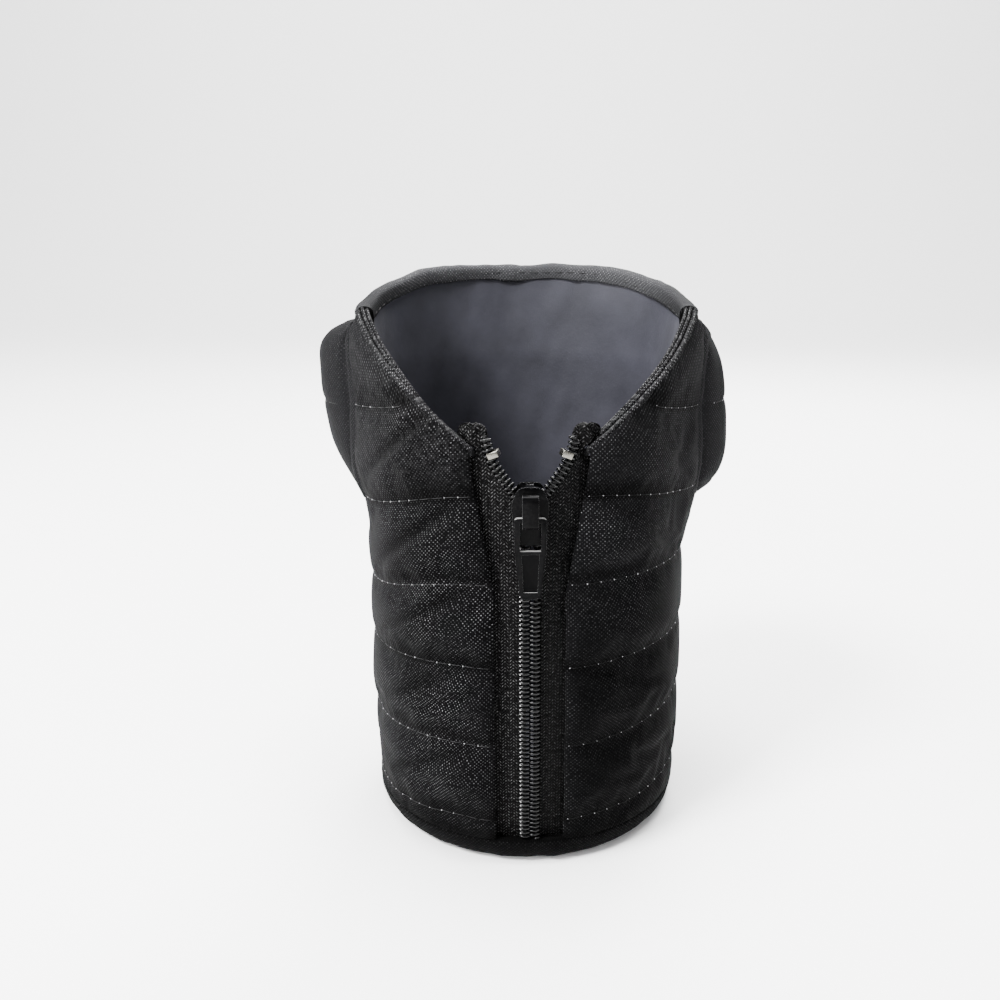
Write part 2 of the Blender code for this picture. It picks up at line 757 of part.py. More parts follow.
def zip_coil(side, sign, group):
    """Half of the chain: a cord with teeth that lie between those of the other half."""
    half_tooth = (ZIP_PITCH / 2 - TOOTH_CLEARANCE) / 2
    tip = HALF_CHAIN / 2 + TOOTH_CROSSING
    root = COIL_CORD - HALF_CHAIN / 2
    inner = []
    outer = []
    for n, (x, z, nx, nz) in enumerate(chain_points()):
        phase = n if sign > 0 else n + 2
        if phase % 4 == 1:
            along = (nz, -nx)
            for reach, shift in ((-root, -half_tooth), (tip, -half_tooth), (tip, half_tooth), (-root, half_tooth)):
                inner.append((sign * (x + nx * reach + along[0] * shift), z + nz * reach + along[1] * shift))
        if n % 12 == 0:
            outer.append((sign * (x - nx * HALF_CHAIN / 2), z - nz * HALF_CHAIN / 2))
    outline = inner + outer[::-1]
    item = plate("zip_coil_" + side, [outline], CHAIN_INNER, CHAIN_OUTER, group, coil_nylon())
    for vertex in item.data.vertices:
        x, y, z = vertex.co
        vertex.co = on_front(x, -y, z)
    return item


def top_stop(side, sign, group):
    """Metal clip pinched round the edge of the chain, above which the slider can't go."""
    x = chain_path(STOP_HEIGHT)
    slope = (chain_path(STOP_HEIGHT + MM) - chain_path(STOP_HEIGHT - MM)) / 2
    lean = math.atan2(slope, MM)
    inside = HALF_CHAIN / 2 + TOOTH_CROSSING + GAP
    back = TAPE_INNER - GAP
    front = CHAIN_OUTER + GAP
    section = [
        (STOP_REACH, front),
        (STOP_REACH, front + STOP_METAL),
        (-inside - STOP_METAL, front + STOP_METAL),
        (-inside - STOP_METAL, back - STOP_METAL),
        (STOP_REACH, back - STOP_METAL),
        (STOP_REACH, back),
        (-inside, back),
        (-inside, front),
    ]
    sections = []
    for end in (-0.5, 0.5):
        ring = []
        for across, reach in section:
            px = x + across * math.cos(lean) + end * STOP_LENGTH * math.sin(lean)
            pz = STOP_HEIGHT - across * math.sin(lean) + end * STOP_LENGTH * math.cos(lean)
            ring.append(on_front(sign * px, reach, pz))
        sections.append(ring)
    return loft("top_stop_" + side, sections, group, silver_metal())


def slider(group, cutters):
    """Body that closes the chain: two plates, the flanges, the wedge between and the bridge."""
    half = SLIDER_WIDTH / 2
    tail = SLIDER_TAIL_WIDTH / 2
    shoulder = SLIDER_TOP - SLIDER_LENGTH / 4
    outline = [(-tail, SLIDER_BOTTOM), (tail, SLIDER_BOTTOM), (half, shoulder)]
    outline += [(half * 0.62, SLIDER_TOP), (-half * 0.62, SLIDER_TOP), (-half, shoulder)]
    shape = rounded(outline, SLIDER_WIDTH / 6)
    item = plate("slider", [shape], SLIDER_FACE, SLIDER_FRONT, group, black_metal())
    back_outer = TAPE_INNER * math.cos(half / TAPE_INNER) - GAP
    rear = plate("slider_back", [shape], back_outer - SLIDER_BACK_PLATE, back_outer, cutters)
    boolean(item, rear, "UNION")
    tip = SLIDER_TOP - WEDGE_LENGTH - GAP
    wedge = [(-WEDGE_WIDTH / 8, tip), (WEDGE_WIDTH / 8, tip)]
    wedge += [(WEDGE_WIDTH / 2, SLIDER_TOP - GAP), (-WEDGE_WIDTH / 2, SLIDER_TOP - GAP)]
    deep = back_outer - SLIDER_BACK_PLATE / 2
    boolean(item, plate("slider_wedge", [wedge], deep, SLIDER_FRONT - GAP, cutters), "UNION")
    inside = HALF_CHAIN + GAP
    foot = TAPE_OUTER + 2 * GAP
    for side, sign in SIDES:
        low = SLIDER_BOTTOM + GAP / 2
        near = sign * inside
        far = sign * (inside + FLANGE_THICKNESS)
        flange = [(near, low), (far, low), (far, low + FLANGE_LENGTH), (near, low + FLANGE_LENGTH)]
        name = "slider_flange_" + side
        boolean(item, plate(name, [flange], foot, SLIDER_FRONT - GAP, cutters), "UNION")
    frame = [
        (SLIDER_FRONT - GAP, BRIDGE_TOP),
        (SLIDER_FRONT - GAP, BRIDGE_BOTTOM),
        (BRIDGE_FRONT, BRIDGE_BOTTOM),
        (BRIDGE_FRONT, BRIDGE_TOP),
    ]
    hole_high = BRIDGE_TOP - BRIDGE_STRAP
    hole_low = BRIDGE_BOTTOM + BRIDGE_STRAP
    hole = [
        (SLIDER_FRONT, hole_high),
        (SLIDER_FRONT, hole_low),
        (BRIDGE_FRONT - BRIDGE_STRAP, hole_low),
        (BRIDGE_FRONT - BRIDGE_STRAP, hole_high),
    ]
    arch = rounded(frame, BRIDGE_STRAP * 1.5)
    boolean(item, side_plate("slider_bridge", [arch, hole], BRIDGE_WIDTH, cutters), "UNION")
    return item


def pull_tab(group, cutters):
    """Tab that hangs by its top bar from the slider's bridge."""
    high = BAR_HEIGHT + TAB_BAR / 2
    low = high - TAB_LENGTH
    half = TAB_WIDTH / 2
    tip = TAB_TIP_WIDTH / 2
    hip = high - TAB_BAR - TAB_WINDOW_LENGTH
    outline = [(-tip, low), (tip, low), (half, hip), (half, high), (-half, high), (-half, hip)]
    inside = BRIDGE_WIDTH / 2 + TAB_WINDOW_SIDE
    window = [(-inside, hip), (inside, hip), (inside, high - TAB_BAR), (-inside, high - TAB_BAR)]
    near = BAR_REACH - TAB_THICKNESS / 2
    far = BAR_REACH + TAB_THICKNESS / 2
    shapes = [rounded(outline, TAB_CORNER), window]
    item = plate("pull_tab", shapes, near, far, group, black_metal())
    recess = [
        (-tip + TAB_RIM, low + 2 * TAB_RIM),
        (tip - TAB_RIM, low + 2 * TAB_RIM),
        (half - 2 * TAB_RIM, hip - TAB_RIM),
        (-half + 2 * TAB_RIM, hip - TAB_RIM),
    ]
    dish = plate("tab_recess_cutter", [recess], far - TAB_RECESS, far + TAB_THICKNESS, cutters)
    boolean(item, dish, "DIFFERENCE")
    pin = (0.0, -BAR_REACH, BAR_HEIGHT)
    item.data.transform(Matrix.Translation([-c for c in pin]))
    dish.data.transform(Matrix.Translation([-c for c in pin]))
    item.location = pin
    dish.location = pin
    return item


def build():
    clear_scene()
    group = collection("can_cooler_sleeve")
    cutters = collection("cutters")
    base_panel(group)
    bottom_hem(group)
    lining(group, cutters)
    quilted_body(group, cutters)
    collar(group, cutters)
    collar_fold(group)
    seat = seat_cutter(cutters)
    for side, sign in SIDES:
        neckline_lip(side, sign, group)
        arm(side, sign, group, seat)
        cuff(side, sign, group, seat)
        zip_tape(side, sign, group)
        zip_coil(side, sign, group)
        top_stop(side, sign, group)
    slider(group, cutters)
    pull_tab(group, cutters)


build()
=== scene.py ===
import math

import bmesh
import bpy
import numpy as np
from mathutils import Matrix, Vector


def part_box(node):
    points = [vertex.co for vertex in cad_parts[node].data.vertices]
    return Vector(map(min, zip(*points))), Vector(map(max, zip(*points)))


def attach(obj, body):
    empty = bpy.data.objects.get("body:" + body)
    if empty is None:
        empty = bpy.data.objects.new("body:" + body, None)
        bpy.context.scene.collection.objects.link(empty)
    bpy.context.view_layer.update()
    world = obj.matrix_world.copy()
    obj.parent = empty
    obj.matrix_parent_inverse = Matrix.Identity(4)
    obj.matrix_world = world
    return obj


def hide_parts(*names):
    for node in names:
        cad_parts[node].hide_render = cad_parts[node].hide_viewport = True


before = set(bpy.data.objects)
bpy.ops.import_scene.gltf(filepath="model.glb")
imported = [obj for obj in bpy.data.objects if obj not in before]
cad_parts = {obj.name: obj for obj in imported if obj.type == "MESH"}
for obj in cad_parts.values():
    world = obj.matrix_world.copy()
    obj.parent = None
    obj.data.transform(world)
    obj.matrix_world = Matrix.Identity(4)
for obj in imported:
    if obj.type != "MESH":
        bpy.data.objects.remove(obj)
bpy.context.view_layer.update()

MM = 0.001
SEED = 7

# Sizes that the looks share with the frame
GAP = 0.3 * MM
LINING_INNER = 33.4 * MM
LINING_OUTER = 35.0 * MM
SHELL_INNER = 35.3 * MM
SEAM_RADIUS = 36.0 * MM
SHELL_THICKNESS = 0.7 * MM
PUFF_HEIGHT = 0.85 * MM
SKIRT_FLARE = 1.8 * MM
HEM_TUCK = 4.6 * MM
ROW_FIRST = 11.5 * MM
ROW_PITCH = 18.6 * MM
ROW_COUNT = 6
NECK_FRONT_ANGLE = 18.6
NECK_FRONT_HEIGHT = 96.2 * MM
NECK_CORNER_ANGLE = 76.0
NECK_CORNER_HEIGHT = 120.8 * MM
NECK_BACK_ANGLE = 154.0
NECK_BACK_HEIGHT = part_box("collar_fold")[1][2]
COLLAR_SEAM = 114.0 * MM
COLLAR_FLARE = 1.9 * MM
COLLAR_PUFF = 0.8 * MM
FLARE_START = 106.0 * MM
LIP_HEIGHT = 1.7 * MM
FOLD_DEPTH = 3.8 * MM
SHOULDER_SWELL = 3.2 * MM
SHOULDER_ANGLE = 84.0
SHOULDER_SPREAD = 18.0
ARM_FRONT_ANGLE = 80.0
ARM_END_ANGLE = 134.0
ARM_PEAK_ANGLE = 108.0
ARM_REACH = 47.6 * MM
ARM_FRONT_REACH = 41.6 * MM
ARM_END_REACH = 45.4 * MM
ARM_MIDDLE = 98.0 * MM
ARM_DROOP = 3.0 * MM
ARM_HALF_HEIGHT = 21.0 * MM
ARM_FRONT_HALF = 19.0 * MM
ARM_END_HALF = 15.0 * MM
PANEL_EDGE = 7.3 * MM
PANEL_EDGE_TOP = 11.9 * MM
PANEL_EDGE_BEND = 62.0 * MM
HALF_CHAIN = 2.4 * MM
CHAIN_DEPTH = 1.8 * MM
ZIP_SPLIT = 84.0 * MM
ZIP_END_SPREAD = 8.9 * MM
ZIP_END_HEIGHT = 98.2 * MM
HUMP_HEIGHT = 2.2 * MM
HUMP_OUTER = 15.2 * MM
TAPE_OUTER = 35.0 * MM
HEM_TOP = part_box("bottom_hem")[1][2]
BODY_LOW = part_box("quilted_body")[0][2]
BODY_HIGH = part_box("quilted_body")[1][2]
BASE_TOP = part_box("base_panel")[1][2]
BASE_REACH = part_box("base_panel")[1][0]
SIDES = (("left", -1), ("right", 1))

# Fullness of each arm from its lowest to its highest point: the left one is fuller above
ARM_HEIGHTS = (
    -1.0, -0.89, -0.78, -0.67, -0.55, -0.44, -0.33, -0.12, 0.1, 0.3, 0.51, 0.61, 0.71, 0.81, 0.92, 1.0
)
ARM_FULLNESS = {
    "left": (
        0.0, 0.15, 0.30, 0.46, 0.68, 0.82, 0.92, 1.04, 1.15, 1.18, 1.16, 1.13, 1.07, 0.93, 0.60, 0.0
    ),
    "right": (
        0.0, 0.66, 0.95, 1.08, 1.16, 1.18, 1.18, 1.13, 1.06, 0.98, 0.88, 0.80, 0.70, 0.58, 0.36, 0.0
    ),
}

# How far the stitched rows sag at the sides, from the lowest row to the highest
ROW_DROOP = {
    "left": (2.4 * MM, 2.0 * MM, 2.5 * MM, 6.3 * MM, 6.3 * MM, 4.2 * MM),
    "right": (-2.0 * MM, -2.2 * MM, -1.0 * MM, 0.0, 4.0 * MM, 4.6 * MM),
}
ARM_ROW_DROOP = 5.0 * MM
LEFT_SHOULDER_LIFT = 9.0 * MM

# Fineness of the made surfaces
BODY_COLUMNS = 151
CELLS_PER_ROW = 13
ARM_STEPS = 72
BEVEL_SEGMENTS = 3

# Points of the collar's section that lie outside, and the first one of the fold
COLLAR_OUTSIDE = 13
COLLAR_FOLD_FROM = 14

# Folded edges of the neckline: share of the way inwards, then drop, width and height in mm
NECK_STRANDS = ((0.0, 0.25, 0.60, 1.8), (0.52, 0.0, 0.42, 1.6), (1.0, 0.15, 0.46, 1.6))
STRAND_POINTS = 14

# Long folds of the body: start above a row in mm, slope and height in mm
LONG_FOLDS = ((1.8, 0.50, 2.4), (6.4, 0.42, 1.3))

# Cloth simulation of the body
CLOTH_FRAMES = 20
CLOTH_SCALE = 10.0

# Where an arm begins before its front, how far it is tucked in there, and its play over the body
ARM_LEAD = 5.0
ARM_TUCK = 0.7 * MM
ARM_PLAY = 0.25 * MM
CUFF_RINGS = ((0.3, 1.2), (0.7, 0.7), (1.4, 0.45), (2.4, 0.4), (3.4, 0.7), (4.2, 1.4), (4.4, 2.4))

# Weave, threads and the zip's chain
WEAVE_PITCH = 0.42 * MM
WEAVE_DEPTH = 0.07 * MM
THREAD_RADIUS = 0.06 * MM
DASH_RADIUS = 0.08 * MM
DASH_PITCH = 3.3 * MM
DASH_SHARE = 0.62
KNOT_RADIUS = 0.14 * MM
STITCH_SPACING = 3.1 * MM
STITCH_PLACES = (0.08, 0.3, 0.5, 0.7, 0.92)
CHAIN_PITCH = 1.04 * MM
COIL_WIRE = 0.29 * MM
CORE_RADIUS = 0.42 * MM
BEAD_RADIUS = 0.15 * MM
LINING_INSET = 2.3 * MM

# Zip tape: where it narrows behind the neckline's edge and widens again into its folded end
TAPE_THICKNESS = 0.5 * MM
TAPE_NARROWS = 93.3 * MM
TAPE_WIDENS = 95.4 * MM

# Grooves of the rows that run on across the arms
GROOVE_DEPTH = 0.5 * MM
GROOVE_WIDTH = 0.9 * MM

# Painted shade on the weave: how far above a row, and up to what height on the right
OVERHANG_SHADE = 3.4 * MM
RIGHT_SHADE = 45 * MM

# How far outside the axis the probe for a surface starts
PROBE_START = 60 * MM

# Colours
FABRIC_DARK = (0.0013, 0.0013, 0.0014)
# Pale specks of the weave: painted glints of the thread crowns
FABRIC_GLINT = (0.30, 0.30, 0.305)
# The collar's inward fold is painted lighter, as lit from above
FOLD_PAINTED_LIGHT = (0.030, 0.030, 0.032)
LINING_COLOUR = (0.020, 0.020, 0.026)
TAPE_DARK = (0.0012, 0.0012, 0.0012)
# Pale specks of the tape: painted glints
TAPE_GLINT = (0.14, 0.14, 0.14)
THREAD_COLOUR = (0.22, 0.22, 0.225)
COIL_COLOUR = (0.0008, 0.0008, 0.0009)
METAL_COLOUR = (0.0008, 0.0008, 0.0009)
SILVER_COLOUR = (0.13, 0.125, 0.11)


def smooth_step(u):
    u = np.clip(u, 0.0, 1.0)
    return u * u * (3 - 2 * u)


def mix(a, b, u):
    return a + (b - a) * u


def neckline(angle):
    """Height of the top edge at an angle in degrees from the zip."""
    a = np.abs(angle)
    u = (a - NECK_FRONT_ANGLE) / (NECK_CORNER_ANGLE - NECK_FRONT_ANGLE)
    front = mix(NECK_FRONT_HEIGHT, NECK_CORNER_HEIGHT, u)
    v = (a - NECK_CORNER_ANGLE) / (NECK_BACK_ANGLE - NECK_CORNER_ANGLE)
    back = mix(NECK_CORNER_HEIGHT, NECK_BACK_HEIGHT, smooth_step(v))
    return np.where(a <= NECK_CORNER_ANGLE, front, back)


def flare(z):
    return COLLAR_FLARE * np.maximum(0.0, z - FLARE_START) / (NECK_BACK_HEIGHT - FLARE_START)


def seam_radius(z):
    return SEAM_RADIUS + SKIRT_FLARE * np.maximum(0.0, 1 - z / COLLAR_SEAM) + flare(z)


def shoulder_swell(angle, z):
    side = np.exp(-(((np.abs(angle) - SHOULDER_ANGLE) / SHOULDER_SPREAD) ** 2))
    lift = np.where(np.asarray(angle) < 0, LEFT_SHOULDER_LIFT, 0.0)
    low = ARM_MIDDLE - ARM_HALF_HEIGHT - ROW_PITCH / 2 + lift
    rise = smooth_step((z - low) / ROW_PITCH)
    top = np.where(np.abs(angle) < ARM_FRONT_ANGLE, neckline(angle), COLLAR_SEAM)
    fall = smooth_step((top - z) / (ROW_PITCH / 4))
    return SHOULDER_SWELL * side * rise * fall


def panel_edge(z):
    """Distance from the zip's middle to the front edge of a body panel."""
    u = (z - PANEL_EDGE_BEND) / (NECK_FRONT_HEIGHT - PANEL_EDGE_BEND)
    return mix(PANEL_EDGE, PANEL_EDGE_TOP, smooth_step(u))


def edge_angle(z, inset=0.0):
    """Angle from the zip's middle to a panel's front edge, or to a line beside it."""
    return np.degrees((panel_edge(z) + inset) / SEAM_RADIUS)


def chain_path(z):
    """Distance from the zip's middle to the middle of one half of the chain."""
    closed = HALF_CHAIN / 2
    u = np.clip((z - ZIP_SPLIT) / (ZIP_END_HEIGHT - ZIP_SPLIT), 0.0, 1.05)
    return closed + (ZIP_END_SPREAD - closed) * np.sin(u * math.pi / 2) ** 1.15


def on_ring(angle, reach, z):
    """Points at angles in degrees from the zip, as an array of x, y, z."""
    a = np.radians(angle)
    return np.stack(np.broadcast_arrays(reach * np.sin(a), -reach * np.cos(a), z), -1)


def on_front(x, reach, z):
    return on_ring(np.degrees(x / SEAM_RADIUS), reach, z)


def stitch_rows():
    return [ROW_FIRST + ROW_PITCH * k for k in range(ROW_COUNT)]


def value_noise(u, v, seed, period=None):
    """Smooth noise from -1 to 1 on a plane, which may repeat along u."""
    rng = np.random.default_rng(seed)
    table = rng.uniform(-1.0, 1.0, (257, 257))
    iu = np.floor(u).astype(int)
    iv = np.floor(v).astype(int)
    fu = smooth_step(u - iu)
    fv = smooth_step(v - iv)
    wrap = period or 256

    def at(a, b):
        return table[a % wrap, b % 256]

    low = mix(at(iu, iv), at(iu + 1, iv), fu)
    high = mix(at(iu, iv + 1), at(iu + 1, iv + 1), fu)
    return mix(low, high, fv)


# Materials


def new_material(name):
    made = bpy.data.materials.new(name)
    made.use_nodes = True
    tree = made.node_tree
    return made, tree, tree.nodes["Principled BSDF"]


def scaled(colour, share):
    return tuple(c * share for c in colour)


def set_inputs(node, values):
    for name, value in values.items():
        node.inputs[name].default_value = value


def math_node(tree, operation, a, b=None):
    node = tree.nodes.new("ShaderNodeMath")
    node.operation = operation
    for socket, value in zip(node.inputs, (a, b)):
        if isinstance(value, (int, float)):
            socket.default_value = value
        elif value is not None:
            tree.links.new(value, socket)
    return node.outputs[0]


def times(tree, a, b):
    return math_node(tree, "MULTIPLY", a, b)


def plus(tree, a, b):
    return math_node(tree, "ADD", a, b)


def colour_mix(tree, factor, a, b):
    node = tree.nodes.new("ShaderNodeMix")
    node.data_type = "RGBA"
    tree.links.new(factor, node.inputs["Factor"])
    for socket, value in ((node.inputs["A"], a), (node.inputs["B"], b)):
        if isinstance(value, tuple):
            socket.default_value = (*value, 1.0)
        else:
            tree.links.new(value, socket)
    return node.outputs["Result"]


def map_range(tree, value, low, high, to_low, to_high):
    node = tree.nodes.new("ShaderNodeMapRange")
    set_inputs(node, {"From Min": low, "From Max": high, "To Min": to_low, "To Max": to_high})
    tree.links.new(value, node.inputs["Value"])
    return node.outputs["Result"]


def noise(tree, vector, scale, detail=3.0, roughness=0.5):
    node = tree.nodes.new("ShaderNodeTexNoise")
    set_inputs(node, {"Scale": scale, "Detail": detail, "Roughness": roughness})
    tree.links.new(vector, node.inputs["Vector"])
    return node.outputs["Fac"]


def cloth_plane(tree):
    """Place on the cloth in metres, and its distance across and along, from the piece's layout."""
    node = tree.nodes.new("ShaderNodeUVMap")
    node.uv_map = "cloth"
    split = tree.nodes.new("ShaderNodeSeparateXYZ")
    tree.links.new(node.outputs["UV"], split.inputs["Vector"])
    return node.outputs["UV"], split.outputs["X"], split.outputs["Y"]


def bump(tree, shader, height, distance):
    node = tree.nodes.new("ShaderNodeBump")
    node.inputs["Distance"].default_value = distance
    tree.links.new(height, node.inputs["Height"])
    tree.links.new(node.outputs["Normal"], shader.inputs["Normal"])


def painted(tree, name):
    """Value painted on a piece's points, 0 where it has none."""
    node = tree.nodes.new("ShaderNodeAttribute")
    node.attribute_name = name
    return node.outputs["Fac"]


def woven(name, dark, glint_colour, thread, depth, speck=0.55):
    """Plain weave: pale specks where a warp thread lies on top, painted glints of the thread crowns,
    and dark holes between the threads.

    Painted shade darkens the ground and hides most specks, a painted fade thins the specks and lightens
    the ground, and a painted highlight adds shine.
    """
    made, tree, shader = new_material(name)
    vector, x, y = cloth_plane(tree)
    drift = noise(tree, vector, 260.0, 2.0)
    wobble = times(tree, math_node(tree, "SUBTRACT", drift, 0.5), 1.3)
    across = plus(tree, times(tree, x, math.pi / thread), wobble)
    along = plus(tree, times(tree, y, math.pi / thread), wobble)
    cross = times(tree, math_node(tree, "SINE", across), math_node(tree, "SINE", along))
    specks = map_range(tree, cross, 0.5, 1.0, 0.0, 1.0)
    uneven = map_range(tree, noise(tree, vector, 1300.0, 1.0), 0.38, 0.72, 0.0, 1.0)
    clouds = map_range(tree, noise(tree, vector, 70.0, 4.0), 0.35, 0.68, 0.25, 1.0)
    amount = times(tree, times(tree, specks, uneven), clouds)
    # Painted shade: hides most glints and darkens the ground
    painted_shade = painted(tree, "painted_shade")
    amount = times(tree, amount, map_range(tree, painted_shade, 0.0, 1.0, speck, speck * 0.12))
    # Fewer painted glints and a lighter ground where the fade is painted
    amount = times(tree, amount, map_range(tree, painted(tree, "glint_fade"), 0.0, 1.0, 1.0, 0.2))
    # Painted highlight: a shine where the piece is painted for it
    painted_shine = map_range(tree, noise(tree, vector, 800.0, 3.0, 0.7), 0.45, 0.75, 0.0, 0.16)
    amount = math_node(tree, "MAXIMUM", amount, times(tree, painted(tree, "painted_highlight"), painted_shine))
    ground = colour_mix(tree, painted(tree, "glint_fade"), dark, scaled(dark, 4.5))
    ground = colour_mix(tree, painted_shade, ground, scaled(dark, 0.25))
    tree.links.new(colour_mix(tree, amount, ground, glint_colour), shader.inputs["Base Color"])
    tree.links.new(map_range(tree, cross, -1.0, 1.0, 0.95, 0.62), shader.inputs["Roughness"])
    set_inputs(shader, {"Specular IOR Level": 0.015, "Sheen Weight": 0.004, "Sheen Roughness": 0.4})
    fuzz = times(tree, noise(tree, vector, 2600.0, 2.0), 0.5)
    bump(tree, shader, plus(tree, cross, fuzz), depth)
    return made


def herringbone(name, dark, glint_colour):
    """Zip tape: ribs that run up and down in turn, a few threads wide each, with pale specks that are
    painted glints.
    """
    made, tree, shader = new_material(name)
    vector, x, y = cloth_plane(tree)
    column = math_node(tree, "PINGPONG", x, 0.9 * MM)
    slope = plus(tree, y, column)
    rib = math_node(tree, "SINE", times(tree, slope, 2 * math.pi / (0.75 * MM)))
    cut = math_node(tree, "SINE", times(tree, x, 2 * math.pi / (0.62 * MM)))
    cross = times(tree, rib, map_range(tree, cut, -1.0, 1.0, 0.35, 1.0))
    uneven = map_range(tree, noise(tree, vector, 1100.0, 2.0), 0.4, 0.7, 0.0, 1.0)
    specks = times(tree, map_range(tree, cross, 0.35, 0.95, 0.0, 0.8), uneven)
    tree.links.new(colour_mix(tree, specks, dark, glint_colour), shader.inputs["Base Color"])
    set_inputs(shader, {"Roughness": 0.55, "Specular IOR Level": 0.03})
    bump(tree, shader, cross, 0.10 * MM)
    return made


def smooth_lining(name):
    made, tree, shader = new_material(name)
    vector = cloth_plane(tree)[0]
    clouds = map_range(tree, noise(tree, vector, 90.0, 4.0), 0.3, 0.7, 0.0, 1.0)
    lighter = scaled(LINING_COLOUR, 1.5)
    tree.links.new(colour_mix(tree, clouds, LINING_COLOUR, lighter), shader.inputs["Base Color"])
    set_inputs(shader, {"Roughness": 0.62, "Specular IOR Level": 0.2})
    set_inputs(shader, {"Sheen Weight": 0.05, "Sheen Roughness": 0.4})
    fine = times(tree, noise(tree, vector, 3500.0, 2.0), 0.3)
    grain = noise(tree, vector, 700.0, 3.0, 0.6)
    bump(tree, shader, plus(tree, grain, fine), 0.05 * MM)
    return made


def glossy(name, colour, roughness, metallic, scratch=0.25, gloss=0.5):
    """Bare or painted metal, or nylon, with fine scratches; sharp edges are lighter, partly rubbed wear
    and partly a painted edge highlight.
    """
    made, tree, shader = new_material(name)
    place = tree.nodes.new("ShaderNodeTexCoord").outputs["Object"]
    marks = noise(tree, place, 1800.0, 4.0, 0.7)
    # Sharp edges painted lighter: partly rubbed wear, partly a painted edge highlight
    shine_and_wear = tree.nodes.new("ShaderNodeNewGeometry").outputs["Pointiness"]
    edge = map_range(tree, shine_and_wear, 0.52, 0.62, 0.0, 0.6)
    edge_wear_and_shine = times(tree, edge, map_range(tree, marks, 0.4, 0.65, 0.2, 1.0))
    brighter = tuple(min(1.0, c * 1.4 + 0.004) for c in colour)
    tree.links.new(colour_mix(tree, edge_wear_and_shine, colour, brighter), shader.inputs["Base Color"])
    uneven = map_range(tree, marks, 0.3, 0.8, roughness * 0.6, roughness + scratch)
    tree.links.new(uneven, shader.inputs["Roughness"])
    set_inputs(shader, {"Metallic": metallic, "Specular IOR Level": gloss})
    bump(tree, shader, marks, 0.01 * MM)
    return made


def thread_material(name, colour):
    made, tree, shader = new_material(name)
    place = tree.nodes.new("ShaderNodeTexCoord").outputs["Object"]
    fibres = noise(tree, place, 4000.0, 2.0)
    tree.links.new(colour_mix(tree, fibres, scaled(colour, 0.6), colour), shader.inputs["Base Color"])
    set_inputs(shader, {"Roughness": 0.6, "Specular IOR Level": 0.1})
    bump(tree, shader, fibres, 0.02 * MM)
    return made


# Mesh helpers


def new_object(name, data):
    item = bpy.data.objects.new(name, data)
    bpy.context.scene.collection.objects.link(item)
    return item


def mesh_piece(name, points, faces, layout, look):
    """Smooth-shaded object from points and faces, with its cloth layout in metres."""
    mesh = bpy.data.meshes.new(name)
    mesh.from_pydata([tuple(p) for p in points], [], faces)
    if layout is not None:
        layer = mesh.uv_layers.new(name="cloth")
        corners = np.empty(len(mesh.loops), dtype=np.int32)
        mesh.loops.foreach_get("vertex_index", corners)
        layer.data.foreach_set("uv", np.asarray(layout, dtype=np.float32)[corners].ravel())
    mesh.shade_smooth()
    mesh.materials.append(look)
    return new_object(name, mesh)


def face_out(item):
    """Turns the faces of a closed mesh outwards."""
    bm = bmesh.new()
    bm.from_mesh(item.data)
    bmesh.ops.recalc_face_normals(bm, faces=bm.faces)
    bm.to_mesh(item.data)
    bm.free()
    return item


def wall_layout(rings, start=0.0):
    """Layout of a swept piece: length round the sleeve and length along the section."""
    along = np.zeros(rings.shape[:2])
    steps = np.linalg.norm(np.diff(rings, axis=1), axis=2)
    along[:, 1:] = np.cumsum(steps, axis=1)
    step = np.linalg.norm(rings[1] - rings[0], axis=1).mean()
    round_about = start + np.arange(len(rings))[:, None] * step
    return np.stack([np.broadcast_to(round_about, along.shape), along], -1)


def swept(name, rings, look, layout=None, closed=False):
    """Skin through rings of points (rings x points x 3), capped at open ends."""
    rings = np.array(rings)
    if layout is None:
        layout = wall_layout(rings)
    count, size = rings.shape[:2]
    points = rings.reshape(-1, 3)
    faces = []
    last = count if closed else count - 1
    for r in range(last):
        a = r * size
        b = ((r + 1) % count) * size
        for k in range(size):
            n = (k + 1) % size
            faces.append((a + k, a + n, b + n, b + k))
    if not closed:
        faces.append(tuple(range(size)))
        faces.append(tuple(range((count - 1) * size, count * size)))
    return face_out(mesh_piece(name, points, faces, layout.reshape(-1, 2), look))


def turned(name, profile, sides, look):
    """Disc turned about the axis from pairs of reach and height."""
    angles = np.linspace(0, 360, sides, endpoint=False)
    rings = np.array([[on_ring(angle, reach, z) for angle in angles] for reach, z in profile])
    return swept(name, rings, look, rings[..., :2])


def trimmed_sheet(name, angles, lines, top, reach, look):
    """Sheet round the sleeve: columns at angles, level lines, trimmed along a top edge.

    angles(z) gives the columns' angles, top(angle) the upper edge, reach(angle, z) the radius.
    """
    columns = len(angles(lines[0]))
    points = []
    layout = []
    starts = []
    counts = []
    for c in range(columns):
        starts.append(len(points))
        for z in lines:
            angle = angles(z)[c]
            limit = float(top(angle))
            if z >= limit - 0.25 * (lines[-1] - lines[-2]):
                z = limit
            points.append(on_ring(angle, float(reach(angle, z)), z))
            layout.append((math.radians(angle) * SEAM_RADIUS, z))
            if z >= limit:
                break
        counts.append(len(points) - starts[-1])
    faces = []
    for c in range(columns - 1):
        a, b = starts[c], starts[c + 1]
        na, nb = counts[c], counts[c + 1]
        low = min(na, nb)
        for k in range(low - 1):
            faces.append((a + k, b + k, b + k + 1, a + k + 1))
        for k in range(low, nb):
            faces.append((a + low - 1, b + k - 1, b + k))
        for k in range(low, na):
            faces.append((a + k - 1, b + low - 1, a + k))
    return mesh_piece(name, points, faces, layout, look)


def apply_modifiers(item):
    bpy.context.view_layer.update()
    graph = bpy.context.evaluated_depsgraph_get()
    shape = bpy.data.meshes.new_from_object(item.evaluated_get(graph))
    old = item.data
    item.modifiers.clear()
    item.data = shape
    bpy.data.meshes.remove(old)


